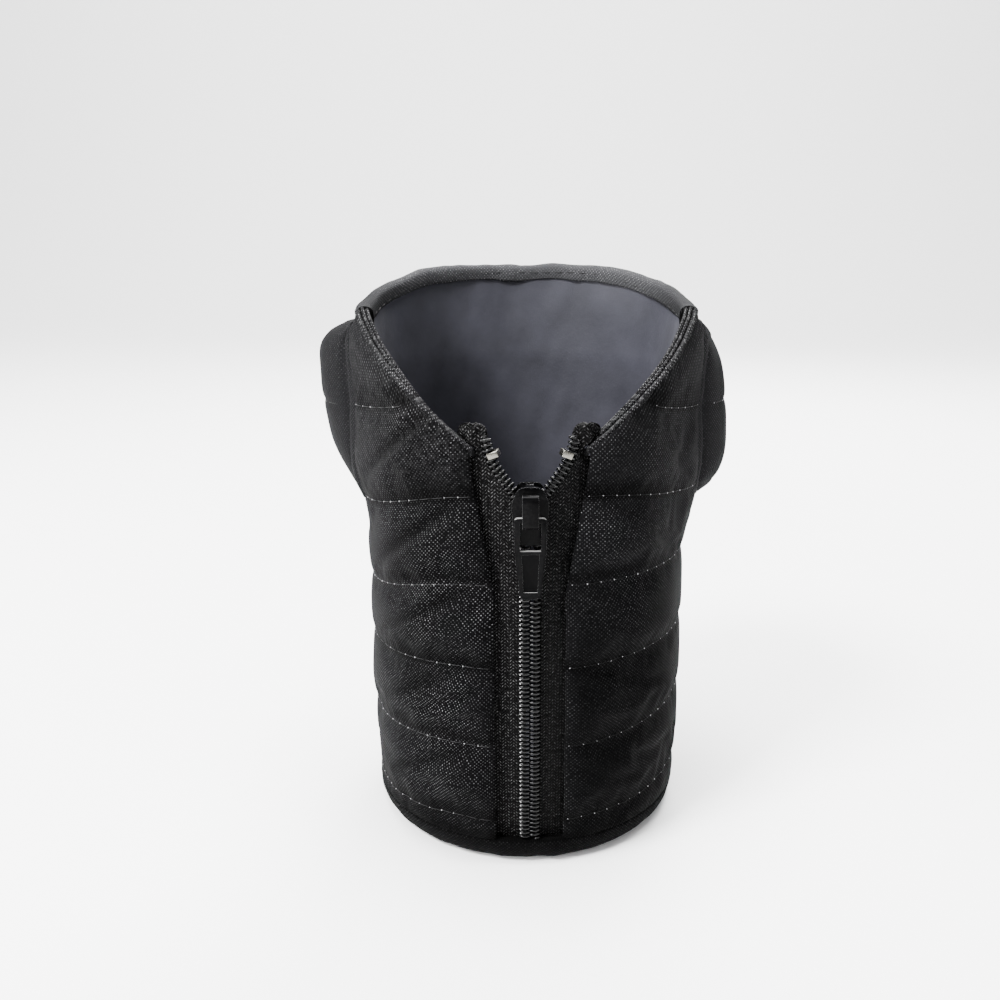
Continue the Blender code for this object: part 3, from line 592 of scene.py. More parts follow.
def thicken(item, thickness):
    """Gives a sheet its thickness towards the inside."""
    solid = item.modifiers.new("thickness", "SOLIDIFY")
    solid.thickness = thickness
    solid.offset = -1.0
    apply_modifiers(item)


def join(items, name=None):
    """Makes one object of several; the first keeps its name unless a new one is given."""
    bpy.ops.object.select_all(action="DESELECT")
    for item in items:
        item.select_set(True)
    bpy.context.view_layer.objects.active = items[0]
    bpy.ops.object.join()
    if name:
        items[0].name = name
    return items[0]


def dress(item, body, slot, *nodes):
    """Says what carries a piece and which nodes it stands for; slot is not used."""
    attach(item, body)
    if nodes:
        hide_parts(*nodes)
    return item


# Quilted body


def body_lines():
    rows = stitch_rows()
    lines = list(np.linspace(BODY_LOW, rows[0], 5))
    for a, b in zip(rows, rows[1:]):
        lines += list(np.linspace(a, b, CELLS_PER_ROW + 1))[1:]
    lines += list(np.linspace(rows[-1], BODY_HIGH, 8))[1:]
    lines += list(np.linspace(BODY_HIGH, NECK_CORNER_HEIGHT, 7))[1:]
    return lines


def row_distance(z):
    """Share of the way from the row below to the row above, and their distance in pitches."""
    edges = [BODY_LOW] + stitch_rows() + [BODY_HIGH]
    k = np.clip(np.searchsorted(edges, z, side="right") - 1, 0, len(edges) - 2)
    low = np.take(edges, k)
    high = np.take(edges, k + 1)
    return np.clip((z - low) / (high - low), 0.0, 1.0), (high - low) / ROW_PITCH


def body_angles(z):
    edge = edge_angle(z)
    return np.linspace(edge, 360 - edge, BODY_COLUMNS)


def signed(angle):
    return (angle + 180) % 360 - 180


def body_top(angle):
    """The panels run up to the lips in front; behind the corners the collar takes over."""
    a = abs(signed(angle))
    edge = float(neckline(a)) - LIP_HEIGHT / 2
    return edge if a < NECK_CORNER_ANGLE else min(BODY_HIGH, edge)


def side_share(angle):
    """0 at the front, rising to 1 at the sides and the back."""
    return smooth_step((np.abs(signed(angle)) - 35) / 40)


def body_reach(angle, z):
    """Outer surface of the quilting, whose channels sag over the row below them."""
    a = signed(angle)
    u, share = row_distance(z)
    full = smooth_step((share - 0.25) / 0.5)
    puff = PUFF_HEIGHT * full * np.sin(np.pi * u**0.6) ** 0.6 * mix(1.6, 0.75, side_share(a))
    edge = np.radians(np.abs(a)) * SEAM_RADIUS - panel_edge(z)
    soft = smooth_step(edge / (2.2 * MM))
    return seam_radius(z) + shoulder_swell(a, z) + puff * (0.45 + 0.55 * soft) - 0.3 * MM * (1 - soft)


def droop(angle, z):
    """How far the cloth has slipped down at a place: nothing at the front, the back and the edges."""
    a = np.asarray(signed(angle))
    heights = [BODY_LOW] + stitch_rows() + [BODY_HIGH]
    left = np.interp(z, heights, (0.0, *ROW_DROOP["left"], 0.0))
    right = np.interp(z, heights, (0.0, *ROW_DROOP["right"], 0.0))
    turned = smooth_step((np.abs(a) - 14) / 62) * (1 - smooth_step((np.abs(a) - 105) / 45))
    return np.where(a < 0, left, right) * turned * smooth_step((neckline(a) - z) / (4 * MM))


def read_points(mesh):
    points = np.empty(len(mesh.vertices) * 3)
    mesh.vertices.foreach_get("co", points)
    return points.reshape(-1, 3)


def write_points(mesh, points):
    mesh.vertices.foreach_set("co", np.asarray(points, dtype=np.float32).ravel())
    mesh.update()


def away(points):
    """Directions straight out from the axis."""
    out = points * (1, 1, 0)
    return out / np.linalg.norm(out, axis=1)[:, None]


def ring_angle(points):
    return np.degrees(np.arctan2(points[:, 0], -points[:, 1]))


def creases(points):
    """Long soft folds that run down and outwards from the zip, strongest on the left."""
    angle = ring_angle(points)
    x = np.radians(angle) * SEAM_RADIUS
    z = points[:, 2]
    u, share = row_distance(z)
    edge = np.abs(x) - panel_edge(z)
    by_zip = np.exp(-np.maximum(edge, 0) / (18 * MM)) * np.where(angle < 0, 1.0, 0.3)
    out = np.abs(x)
    slant = value_noise(out / (9 * MM) + z / (5 * MM), out / (14 * MM) - z / (20 * MM), SEED + 2)
    broad = value_noise(x / (15 * MM) + 60, z / (9 * MM), SEED + 3)
    between = np.sin(np.pi * u) ** 0.7
    lift = (0.8 * slant * by_zip + 0.25 * broad) * between
    side = np.where(angle < 0, 1.0, 0.35)
    row = np.clip(np.searchsorted(stitch_rows(), z), 0, ROW_COUNT).astype(int)
    reach = np.maximum(edge, 0) / MM
    for start, slope, height in LONG_FOLDS:
        shifted = start + 1.5 * value_noise(row * 1.7 + 5.5, np.zeros(len(z)) + start, SEED + 4)
        path = (1 - u) * ROW_PITCH / MM - shifted - slope * reach
        ridge = np.exp(-((path / 2.0) ** 2)) - 0.7 * np.exp(-(((path + 3.6) / 1.6) ** 2))
        along = smooth_step(reach / 5) * np.exp(-((reach / 26) ** 2))
        lift += height * ridge * along * side * between * (share > 0.9)
    return points + away(points) * (lift * MM)[:, None]


def settle(item, pinned, growth, pressure, proud, sunk):
    """Lets a sheet puff and pucker as cloth between its pinned points, and keeps the result.

    The cloth is simulated enlarged, without gravity, and no point ends further out than
    proud or further in than sunk from where it began.
    """
    start = read_points(item.data)
    mesh = item.data.copy()
    write_points(mesh, start * CLOTH_SCALE)
    trial = new_object("cloth_trial", mesh)
    pins = trial.vertex_groups.new(name="pins")
    pins.add([int(k) for k in np.nonzero(pinned)[0]], 1.0, "REPLACE")
    cloth = trial.modifiers.new("cloth", "CLOTH")
    rules = cloth.settings
    rules.quality = 7
    rules.mass = 0.3
    rules.tension_stiffness = 15
    rules.compression_stiffness = 15
    rules.shear_stiffness = 5
    rules.bending_stiffness = 0.05
    rules.vertex_group_mass = "pins"
    rules.shrink_min = -growth
    rules.shrink_max = -growth
    rules.use_pressure = True
    rules.uniform_pressure_force = pressure
    rules.effector_weights.gravity = 0.0
    cloth.collision_settings.use_collision = False
    cloth.collision_settings.use_self_collision = False
    cloth.point_cache.frame_start = 1
    cloth.point_cache.frame_end = CLOTH_FRAMES
    for frame_number in range(1, CLOTH_FRAMES + 1):
        bpy.context.scene.frame_set(frame_number)
    graph = bpy.context.evaluated_depsgraph_get()
    moved = read_points(trial.evaluated_get(graph).to_mesh()) / CLOTH_SCALE
    trial.evaluated_get(graph).to_mesh_clear()
    bpy.data.objects.remove(trial)
    bpy.data.meshes.remove(mesh)
    bpy.context.scene.frame_set(1)
    change = moved - start
    out = away(start)
    radial = np.sum(change * out, axis=1)
    side = change - out * radial[:, None]
    held = np.where(radial > 0, proud * np.tanh(radial / proud), -sunk * np.tanh(-radial / sunk))
    size = np.linalg.norm(side, axis=1)
    keep = np.minimum(1.0, 0.8 * MM / np.maximum(size, 1e-9))
    write_points(item.data, start + out * held[:, None] + side * keep[:, None])


def subdivide(item):
    smoother = item.modifiers.new("smoother", "SUBSURF")
    smoother.levels = 1
    smoother.render_levels = 1
    smoother.uv_smooth = "NONE"
    apply_modifiers(item)


def body_pins(points):
    """Points that are held: every second one along the rows, the edges and what the arms cover."""
    angle = ring_angle(points) % 360
    z = points[:, 2]
    edge = edge_angle(z)
    column = np.rint((angle - edge) / (360 - 2 * edge) * (BODY_COLUMNS - 1)).astype(int)
    pinned = (column <= 0) | (column >= BODY_COLUMNS - 1)
    pinned |= z < BODY_LOW + 0.1 * MM
    tops = np.array([body_top(a) for a in angle])
    pinned |= z > tops - 0.1 * MM
    for row in stitch_rows():
        pinned |= (np.abs(z - row) < 0.05 * MM) & (column % 2 == 0)
    side = np.abs(signed(angle))
    beside = (side > ARM_FRONT_ANGLE - 4) & (side < ARM_END_ANGLE)
    return pinned | (beside & (z > ARM_MIDDLE - ARM_HALF_HEIGHT))


def painted_shade_share(angle, z):
    """Painted shade on the weave: under each overhang and low on the right."""
    u, share = row_distance(z)
    near = u * share * ROW_PITCH
    under = np.exp(-((near / OVERHANG_SHADE) ** 2)) * mix(1.0, 0.6, side_share(angle))
    right = smooth_step((angle - 4) / 14) * (1 - smooth_step((angle - 100) / 40))
    low = 1 - smooth_step((z - RIGHT_SHADE) / RIGHT_SHADE)
    return np.maximum(under, 0.8 * right * low)


def paint(item, values, name="painted_shade"):
    """Stores a value for each point, or one for all, that the look reads by its name."""
    layer = item.data.attributes.new(name, "FLOAT", "POINT")
    spread = np.broadcast_to(values, len(item.data.vertices))
    layer.data.foreach_set("value", spread.astype(np.float32))


def quilted_body(look):
    item = trimmed_sheet("jacket_body", body_angles, body_lines(), body_top, body_reach, look)
    points = read_points(item.data)
    pinned = body_pins(points)
    folded = creases(points)
    sunk = np.linalg.norm(points[:, :2], axis=1) - np.linalg.norm(folded[:, :2], axis=1)
    points[~pinned] = folded[~pinned]
    angle = ring_angle(points)
    height = points[:, 2].copy()
    points[:, 2] -= droop(angle, height)
    write_points(item.data, points)
    proud = mix(0.9, 0.25, side_share(angle)) * MM
    settle(item, pinned, growth=0.035, pressure=0.5, proud=proud, sunk=0.9 * MM)
    # Painted shade under each overhang, low on the right and in the sunk creases
    paint(item, np.maximum(painted_shade_share(angle, height), 0.8 * np.clip(sunk / (1.0 * MM), 0, 1)))
    # Painted glints fade and the ground lightens towards the sides, and on all of the right, away from
    # the light
    right = 0.3 * smooth_step(angle / 12) + 0.5 * smooth_step((angle - 35) / 35)
    left = 0.8 * smooth_step((-angle - 38) / 35)
    paint(item, np.where(angle > 0, right, left), "glint_fade")
    # Painted highlight high on the left shoulder, where the light falls
    shoulder = smooth_step((height - 84 * MM) / (10 * MM)) * smooth_step((-angle - 6) / 14)
    paint(item, 0.15 * shoulder * (1 - smooth_step((-angle - 95) / 30)), "painted_highlight")
    subdivide(item)
    thicken(item, SHELL_THICKNESS)
    dress(item, "sleeve", "quilted_fabric", "quilted_body")
    return item


# Collar and the edges of the neckline


def collar(look, fold_look):
    """Stand-up band whose fabric rolls over the top and is stitched down inside."""
    angles = np.linspace(NECK_CORNER_ANGLE, 360 - NECK_CORNER_ANGLE, 190)
    rings = []
    for angle in angles:
        a = signed(angle)
        wave = 0.45 * MM * float(value_noise(angle / 14.0, 0.3, SEED + 6))
        top = float(neckline(a)) + wave * float(smooth_step((abs(a) - 85) / 15))
        low = COLLAR_SEAM
        section = []
        for u in np.linspace(0, 1, 12):
            z = mix(low, top - 1.2 * MM, u)
            section.append((seam_radius(z) + COLLAR_PUFF * math.sin(math.pi * u) ** 0.7, z))
        outer = float(seam_radius(top)) + 0.25 * MM
        inner = LINING_INNER + float(flare(top)) - 0.75 * MM
        for t in np.linspace(0, math.pi, 9):
            reach = (outer + inner) / 2 + (outer - inner) / 2 * math.cos(t)
            section.append((reach, top - 1.2 * MM + 1.2 * MM * math.sin(t)))
        for u in np.linspace(0.15, 1, 7):
            z = mix(top - 1.2 * MM, top - FOLD_DEPTH, u)
            section.append((inner - 0.12 * MM * math.sin(math.pi * u), z))
        section.append((inner + 0.45 * MM, top - FOLD_DEPTH))
        section.append((LINING_INNER + float(flare(top)) + 0.2 * MM, top - LIP_HEIGHT - 0.2 * MM))
        section.append((SHELL_INNER + float(flare(low)) + 0.1 * MM, low))
        rings.append([on_ring(angle, reach, z) for reach, z in section])
    layout = wall_layout(np.array(rings), math.radians(NECK_CORNER_ANGLE) * SEAM_RADIUS)
    item = swept("jacket_collar", rings, look, layout)
    # Painted light: the fold turned inwards takes the lighter fold look, as where light from above
    # falls on it
    item.data.materials.append(fold_look)
    for face in item.data.polygons:
        face.material_index = int(min(k % len(section) for k in face.vertices) >= COLLAR_FOLD_FROM)
    # Painted shade, full near the corners and fading out towards the back
    paint(item, 0.8 * (1 - smooth_step((np.abs(ring_angle(read_points(item.data))) - 92) / 45)))
    # Fewer painted glints and a lighter ground on the outside
    outside = np.tile(np.arange(len(section)) < COLLAR_OUTSIDE, len(rings))
    paint(item, 0.8 * outside, "glint_fade")
    ripple(item, 0.18 * MM, 5 * MM, SEED + 5)
    dress(item, "sleeve", "quilted_fabric", "collar", "collar_fold")


def fold_stitches(look):
    """Pale dashes that hold the fold down, seen inside the collar."""
    dashes = []
    step = DASH_PITCH / SEAM_RADIUS
    for k in range(int(math.radians(180) / step)):
        places = []
        for u in np.linspace(0, DASH_SHARE, 5):
            angle = 90 + math.degrees((k + u) * step)
            a = abs(signed(angle))
            top = float(neckline(a))
            depth = np.interp(a, (90, 117, 158, 180), (3.3, 3.1, 1.9, 1.9)) * MM
            proud = (0.78 + 0.22 * math.sin(math.pi * u / DASH_SHARE)) * MM
            reach = LINING_INNER + float(flare(top)) - proud
            places.append(on_ring(angle, reach, top - depth))
        dashes.append(tube(places, DASH_RADIUS, 5, f"dash_{k}", look))
    row = join(dashes, "collar_stitches")
    dress(row, "sleeve", "quilted_fabric")


def ripple(item, height, size, seed):
    """Moves a piece's surface slightly along its normals with smooth seeded noise."""
    points = read_points(item.data)
    normals = np.empty(points.size)
    item.data.vertex_normals.foreach_get("vector", normals)
    angle = np.arctan2(points[:, 0], -points[:, 1]) * SEAM_RADIUS
    lift = value_noise(angle / size + 40, points[:, 2] / (1.6 * size), seed)
    lift += 0.5 * value_noise(angle / (0.45 * size) + 90, points[:, 2] / size, seed + 50)
    write_points(item.data, points + normals.reshape(-1, 3) * (height * lift)[:, None])


def neckline_lip(side, sign, look):
    """Three folded edges side by side; only the outer one runs on down to the zip."""
    angles = np.linspace(NECK_FRONT_ANGLE - 0.6, NECK_CORNER_ANGLE + 1.2, 110)
    pieces = []
    turns = np.linspace(0, 2 * math.pi, STRAND_POINTS, endpoint=False)
    for strand, (share, drop, width, height) in enumerate(NECK_STRANDS):
        rings = []
        for angle in angles:
            fade = float(smooth_step((angle - 30) / 25))
            behind = float(smooth_step((angle - 20) / 4)) * (side == "right")
            fade = max(fade, behind)
            size = mix(1.0 if strand == 0 else 0.55, 1.0, fade)
            top = float(neckline(min(angle, NECK_CORNER_ANGLE)))
            outer = float(seam_radius(top)) - 0.1 * MM
            inner = LINING_INNER + float(flare(top)) + 0.5 * MM
            reach = mix(outer, mix(mix(outer, inner, 0.5), inner, fade), share)
            wave = 0.14 * MM * float(value_noise(angle / 3.0 + strand * 9, 0.5 + strand, SEED + 9))
            low = drop * MM + (0.5 * MM * (1 - fade) if strand else 0.0)
            z = top - low - height * MM / 2 + wave
            ring = []
            for t in turns:
                r = reach + width * MM * size * math.cos(t)
                ring.append((r, z + height * MM / 2 * math.sin(t)))
            rings.append([on_ring(sign * angle, r, h) for r, h in ring])
        piece = swept(f"neck_edge_{side}_{strand}", rings, look)
        # Painted highlight along the upper side of each folded edge
        upper = np.clip(np.sin(turns), 0, 1) ** 2
        paint(piece, np.tile(upper, len(rings)), "painted_highlight")
        pieces.append(piece)
    first = join(pieces, "neck_edge_" + side)
    dress(first, "sleeve", "binding", "neckline_lip_" + side)


# Arms


def arm_size(angle):
    if angle < ARM_PEAK_ANGLE:
        u = (angle - ARM_FRONT_ANGLE) / (ARM_PEAK_ANGLE - ARM_FRONT_ANGLE)
        bulge = max(0.0, 1 - (1 - max(0.0, u)) ** 2) ** 0.7
        reach = mix(ARM_FRONT_REACH - 1.2 * MM, ARM_REACH, bulge)
        half = mix(ARM_FRONT_HALF, ARM_HALF_HEIGHT, bulge)
    else:
        u = (angle - ARM_PEAK_ANGLE) / (ARM_END_ANGLE - ARM_PEAK_ANGLE)
        reach = mix(ARM_REACH, ARM_END_REACH, u * u)
        half = mix(ARM_HALF_HEIGHT, ARM_END_HALF, u * u)
    along = (angle - ARM_FRONT_ANGLE) / (ARM_END_ANGLE - ARM_FRONT_ANGLE)
    return reach, half, ARM_MIDDLE - ARM_DROOP * along


def arm_groove(z):
    """Stitched rows that run on across the arm, as narrow grooves."""
    near = min(abs(z + ARM_ROW_DROOP - row) for row in stitch_rows())
    return GROOVE_DEPTH * math.exp(-near / GROOVE_WIDTH)


def arm_seat(angle, z):
    """Reach of what lies under an arm: the body, and the collar above its seam."""
    if z < BODY_HIGH:
        slipped = min(z + float(droop(angle, z)), BODY_HIGH)
        return float(body_reach(angle, slipped)) + ARM_PLAY
    panel = float(body_reach(math.copysign(NECK_CORNER_ANGLE - 1, angle), z))
    share = float(smooth_step((abs(angle) - NECK_CORNER_ANGLE - 2) / 5))
    return mix(panel, float(seam_radius(z)) + COLLAR_PUFF, share) + ARM_PLAY


def fullness(side, c):
    """Fullness of an arm at a share of its half height, smoothed over the table's steps."""
    places = [c + shift for shift in (-0.06, -0.03, 0, 0.03, 0.06)]
    return float(np.mean([np.interp(place, ARM_HEIGHTS, ARM_FULLNESS[side]) for place in places]))


def arm_ring(side, sign, angle, inset, turn=0.0, steps=ARM_STEPS):
    """Section of an arm: its outside from top to bottom, then its seat on the body back up."""
    reach, half, middle = arm_size(angle)
    ring = []
    rise = float(smooth_step((angle + 2 - ARM_FRONT_ANGLE) / 3.0))
    tuck = ARM_TUCK * (1 - float(smooth_step((angle + ARM_LEAD - ARM_FRONT_ANGLE) / 3.5)))
    for c in np.cos(np.linspace(0, math.pi, steps)):
        z = middle + (half - inset) * c
        depth = fullness(side, c) * min(1.0, (1 - c * c) / 0.06) * rise
        seat = arm_seat(sign * angle, z)
        out = mix(seat, reach - inset, depth) - arm_groove(z) * depth
        ring.append((max(seat, out) - tuck, z))
    for c in np.linspace(-1, 1, 12)[1:-1]:
        z = middle + (half - inset) * c
        ring.append((arm_seat(sign * angle, z) - 0.15 * MM - tuck, z))
    return [on_ring(sign * (angle + turn), r, z) for r, z in ring]


def arm(side, sign, look, bound, shut):
    """A stuffed arm and its cuff, whose closed end takes the last look."""
    front = ARM_FRONT_ANGLE - ARM_LEAD
    angles = list(front + (ARM_END_ANGLE - front) * np.linspace(0, 1, 120) ** 1.3)
    rings = np.array([arm_ring(side, sign, angle, 0.0) for angle in angles])
    middle = rings[:, ARM_STEPS // 2]
    passed = np.concatenate([[0.0], np.cumsum(np.linalg.norm(np.diff(middle, axis=0), axis=1))])
    layout = np.stack([np.broadcast_to(passed[:, None], rings.shape[:2]), rings[..., 2]], -1)
    item = swept("jacket_arm_" + side, rings, look, layout)
    ripple(item, 0.45 * MM, 7.0 * MM, SEED + 20 + sign)
    # Fewer painted glints and a lighter ground all over the arm
    paint(item, 0.9, "glint_fade")
    dress(item, "sleeve", "quilted_fabric", side + "_arm")
    end = [arm_ring(side, sign, ARM_END_ANGLE, inset * MM, turn, 56) for turn, inset in CUFF_RINGS]
    cuff = swept("jacket_cuff_" + side, end, bound)
    cuff.data.materials.append(shut)
    for face in cuff.data.polygons:
        face.material_index = int(len(face.vertices) > 4)
    dress(cuff, "sleeve", "binding", side + "_cuff")
    return item


# Lining, hem and base


def lining(look):
    """The wall behind the body, a strip behind the foot of the zip, and the floor."""

    def angles(z):
        edge = edge_angle(z, LINING_INSET)
        return np.linspace(edge, 360 - edge, 160)

    def top(angle):
        return float(neckline(signed(angle))) - LIP_HEIGHT - GAP

    def reach(angle, z):
        soft = 0.2 * MM * value_noise(angle / 11.0, z / (24 * MM), SEED + 30)
        soft += 0.1 * MM * value_noise(angle / 4.0 + z / (9 * MM), z / (15 * MM), SEED + 31)
        return LINING_OUTER + flare(z) + soft - 0.1 * MM

    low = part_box("lining")[0][2]
    lines = list(np.linspace(low + 1.0 * MM, FLARE_START, 60))
    lines += list(np.linspace(FLARE_START, NECK_BACK_HEIGHT, 16))[1:]
    wall = trimmed_sheet("jacket_lining", angles, lines, top, reach, look)
    thicken(wall, 1.4 * MM)
    high = HEM_TOP - 1.0 * MM
    ring = [(LINING_OUTER, low), (LINING_OUTER, high), (LINING_INNER, high), (LINING_INNER, low)]
    edge = edge_angle(0, LINING_INSET)
    rings = [[on_ring(angle, r, z) for r, z in ring] for angle in np.linspace(-edge, edge, 12)]
    strip = swept("jacket_lining_front", rings, look)
    floor = (
        (0.2 * MM, low),
        (LINING_OUTER - 0.5 * MM, low),
        (LINING_OUTER - 0.2 * MM, low + 0.5 * MM),
        (LINING_INNER + 0.4 * MM, low + 1.0 * MM),
        (0.2 * MM, low + 1.0 * MM),
    )
    disc = turned("jacket_lining_floor", floor, 72, look)
    join([wall, strip, disc])
    dress(wall, "sleeve", "lining", "lining")


def hem(look):
    """Soft band round the foot, creased where the zip is tucked into it."""
    rings = []
    outside = float(seam_radius(HEM_TOP))
    for angle in np.linspace(0, 360, 240, endpoint=False):
        a = signed(angle)
        crease = math.exp(-((a - 9.0) / 3.0) ** 2) - 0.7 * math.exp(-((a - 3.0) / 2.5) ** 2)
        wave = float(value_noise(angle / 5.0, 0.4, SEED + 40, period=72))
        section = []
        for u in np.linspace(0, 1, 14):
            t = math.pi / 2 * u
            swell = (0.15 + 0.15 * wave + 0.4 * crease) * MM * math.sin(math.pi * u) ** 0.5
            reach = outside - HEM_TUCK * (1 - math.cos(t)) + swell
            section.append((reach, (HEM_TOP + 0.2 * MM) * (1 - math.sin(t))))
        section += [(BASE_REACH + GAP, 0.0), (BASE_REACH + GAP, BASE_TOP), (SHELL_INNER, BASE_TOP)]
        section.append((SHELL_INNER, HEM_TOP + 0.2 * MM))
        rings.append([on_ring(angle, r, z) for r, z in section])
    item = swept("jacket_hem", rings, look, closed=True)
    # Painted shade all over the hem
    paint(item, 0.8)
    dress(item, "sleeve", "binding", "bottom_hem")


def base(look):
    profile = (
        (0.2 * MM, 0.0),
        (BASE_REACH - 0.5 * MM, 0.0),
        (BASE_REACH - 0.1 * MM, 0.25 * MM),
        (BASE_REACH, 0.6 * MM),
        (BASE_REACH - 0.1 * MM, BASE_TOP - 0.3 * MM),
        (BASE_REACH - 0.5 * MM, BASE_TOP),
        (0.2 * MM, BASE_TOP),
    )
    item = turned("jacket_base", profile, 96, look)
    dress(item, "sleeve", "binding", "base_panel")


# Zip


def tape(side, sign, look):
    """Half of the tape, with the top end folded outwards beside the chain."""
    top = ZIP_END_HEIGHT + HUMP_HEIGHT
    closed = np.linspace(BODY_LOW - 1.2 * MM, ZIP_SPLIT, 90)
    heights = np.concatenate([closed, np.linspace(ZIP_SPLIT, top, 60)[1:]])
    limit = math.radians(NECK_FRONT_ANGLE) * SEAM_RADIUS - GAP
    rings = []
    for z in heights:
        inner = float(chain_path(min(z, ZIP_END_HEIGHT))) - HALF_CHAIN / 2 + 1.0 * MM
        outer = float(panel_edge(z)) + 1.9 * MM
        if z > TAPE_NARROWS:
            outer = mix(outer, min(outer, limit), float(smooth_step((z - TAPE_NARROWS) / (0.8 * MM))))
            outer = mix(outer, HUMP_OUTER, float(smooth_step((z - TAPE_WIDENS) / (1.4 * MM))))
        hump = max(0.0, (z - ZIP_END_HEIGHT) / HUMP_HEIGHT)
        middle = mix(inner, outer, 0.5)
        shrink = 1 - max(0.0, 1 - (hump * 0.99) ** 2.6) ** 0.45
        inner = mix(inner, middle, shrink)
        outer = mix(outer, middle, shrink)
        lean = float(smooth_step((z - 90 * MM) / (8 * MM)))
        front = []
        back = []
        for u in np.linspace(0, 1, 15):
            x = mix(inner, outer, u)
            fold = lean * 1.3 * MM * math.sin(math.pi * min(1.0, u * 1.1)) ** 1.2
            fold += 0.35 * MM * lean * math.sin(5 * math.pi * u + 4 * hump)
            weave = 0.08 * MM * float(value_noise(z / (3 * MM), u * 3.0, SEED + 60 + sign))
            front.append(on_front(sign * x, TAPE_OUTER + fold + weave, z))
            back.append(on_front(sign * x, TAPE_OUTER + fold + weave - TAPE_THICKNESS, z))
        rings.append(front + back[::-1])
    rings = np.array(rings)
    across = np.arctan2(rings[..., 0], -rings[..., 1]) * SEAM_RADIUS
    item = swept("zip_band_" + side, rings, look, np.stack([across, rings[..., 2]], -1))
    dress(item, "sleeve", "zip_tape", "zip_tape_" + side)


def chain_route(low, high):
    """Lengths, places and directions along the middle of one half of the chain."""
    z = np.linspace(low, high, 1400)
    x = chain_path(z)
    dx = np.gradient(x, z)
    length = np.concatenate([[0.0], np.cumsum(np.hypot(np.diff(x), np.diff(z)))])
    size = np.hypot(dx, 1.0)
    return length, x, z, dx / size, 1.0 / size


def tube(points, radius, sides, name, look):
    """Round cord along points, closed at its ends."""
    points = np.asarray(points)
    ahead = np.gradient(points, axis=0)
    ahead /= np.linalg.norm(ahead, axis=1)[:, None]
    side = np.cross(ahead, np.array([0.31, -0.87, 0.38]))
    side /= np.linalg.norm(side, axis=1)[:, None]
    up = np.cross(side, ahead)
    turns = np.linspace(0, 2 * math.pi, sides, endpoint=False)
    rings = points[:, None] + radius * (
        np.cos(turns)[None, :, None] * side[:, None] + np.sin(turns)[None, :, None] * up[:, None]
    )
    return swept(name, rings, look, np.zeros((*rings.shape[:2], 2)))


def coil(side, sign, look, cord_look):
    """Nylon coil: flattened turns whose heads meet those of the other half."""
    length, x, z, tx, tz = chain_route(BODY_LOW + 0.3 * MM, ZIP_END_HEIGHT)
    turns = int(length[-1] / CHAIN_PITCH)
    per_turn = 16
    s = np.linspace(0, turns * CHAIN_PITCH, turns * per_turn)
    phase = 2 * math.pi * (s / CHAIN_PITCH + (0.25 if sign > 0 else 0.75))
    px, pz, ux, uz = (np.interp(s, length, values) for values in (x, z, tx, tz))
    half = HALF_CHAIN / 2 - 0.1 * MM
    swing = np.cos(phase)
    across = -half * 0.92 * np.sign(swing) * np.abs(swing) ** 0.8 - 0.12 * MM
    deep = (CHAIN_DEPTH / 2 - 0.3 * MM) * np.sin(phase)
    slant = 0.16 * MM * np.cos(phase)
    cx = px + across * uz + ux * slant
    cz = pz - across * ux + uz * slant
    reach = TAPE_OUTER + GAP + CHAIN_DEPTH / 2
    item = tube(on_front(sign * cx, reach + deep, cz), COIL_WIRE, 8, "zip_chain_" + side, look)
    s = np.linspace(0, length[-1], 160)
    core = on_front(sign * np.interp(s, length, x), reach, np.interp(s, length, z))
    filler = tube(core, CORE_RADIUS, 8, "zip_core_" + side, cord_look)
    join([item, filler])
    dress(item, "sleeve", "zip_coil", "zip_coil_" + side)


def coil_stitches(look):
    """Sewing stitches along the left edge of the closed chain, made pale as a painted highlight where
    the light catches them.
    """
    beads = []
    x = -(HALF_CHAIN - 0.4 * MM)
    for k in range(int((ZIP_SPLIT - BODY_LOW) / CHAIN_PITCH) - 3):
        z = BODY_LOW + (k + 1.6) * CHAIN_PITCH
        points = [on_front(x, TAPE_OUTER + 1.6 * MM, z + rise * MM) for rise in (-0.14, 0.0, 0.14)]
        beads.append(tube(points, BEAD_RADIUS, 6, f"coil_bead_{k}", look))
    row = join(beads, "coil_stitches")
    dress(row, "sleeve", "zip_coil")


def softened(node, name, look, body, slot, width, size=1.0, edge_look=None, top_highlight_look=None):
    """Rigid CAD shape with its edges rounded, in a better finish.

    The rounded edges take edge_look, a painted edge highlight, as do the sloping fronts of a piece that
    is given a last look;
    its faces that look upwards take that last look, a painted highlight.
    """
    item = new_object(name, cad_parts[node].data.copy())
    item.data.materials.clear()
    item.data.materials.append(look)
    bm = bmesh.new()
    bm.from_mesh(item.data)
    bmesh.ops.remove_doubles(bm, verts=bm.verts, dist=1e-6)
    bmesh.ops.dissolve_limit(bm, angle_limit=math.radians(4), verts=bm.verts, edges=bm.edges)
    centre = sum((v.co for v in bm.verts), Vector()) / len(bm.verts)
    for v in bm.verts:
        v.co = centre + (v.co - centre) * size
    bm.to_mesh(item.data)
    bm.free()
    bevel = item.modifiers.new("soft_edges", "BEVEL")
    bevel.width = width
    bevel.segments = BEVEL_SEGMENTS
    # The rounded edges take the edge look, a painted edge highlight
    if edge_look:
        item.data.materials.append(edge_look)
        bevel.material = 1
    bevel.limit_method = "ANGLE"
    bevel.angle_limit = math.radians(35)
    apply_modifiers(item)
    # Painted highlights: faces that look up take the last look, sloping fronts the edge look
    if top_highlight_look:
        item.data.materials.append(top_highlight_look)
        for face in item.data.polygons:
            if face.normal.z > 0.6:
                face.material_index = 2
            elif 0.3 < -face.normal.y < 0.94:
                face.material_index = 1
    item.data.shade_smooth()
    item.data.set_sharp_from_angle(angle=math.radians(40))
    dress(item, body, slot, node)


# Stitching


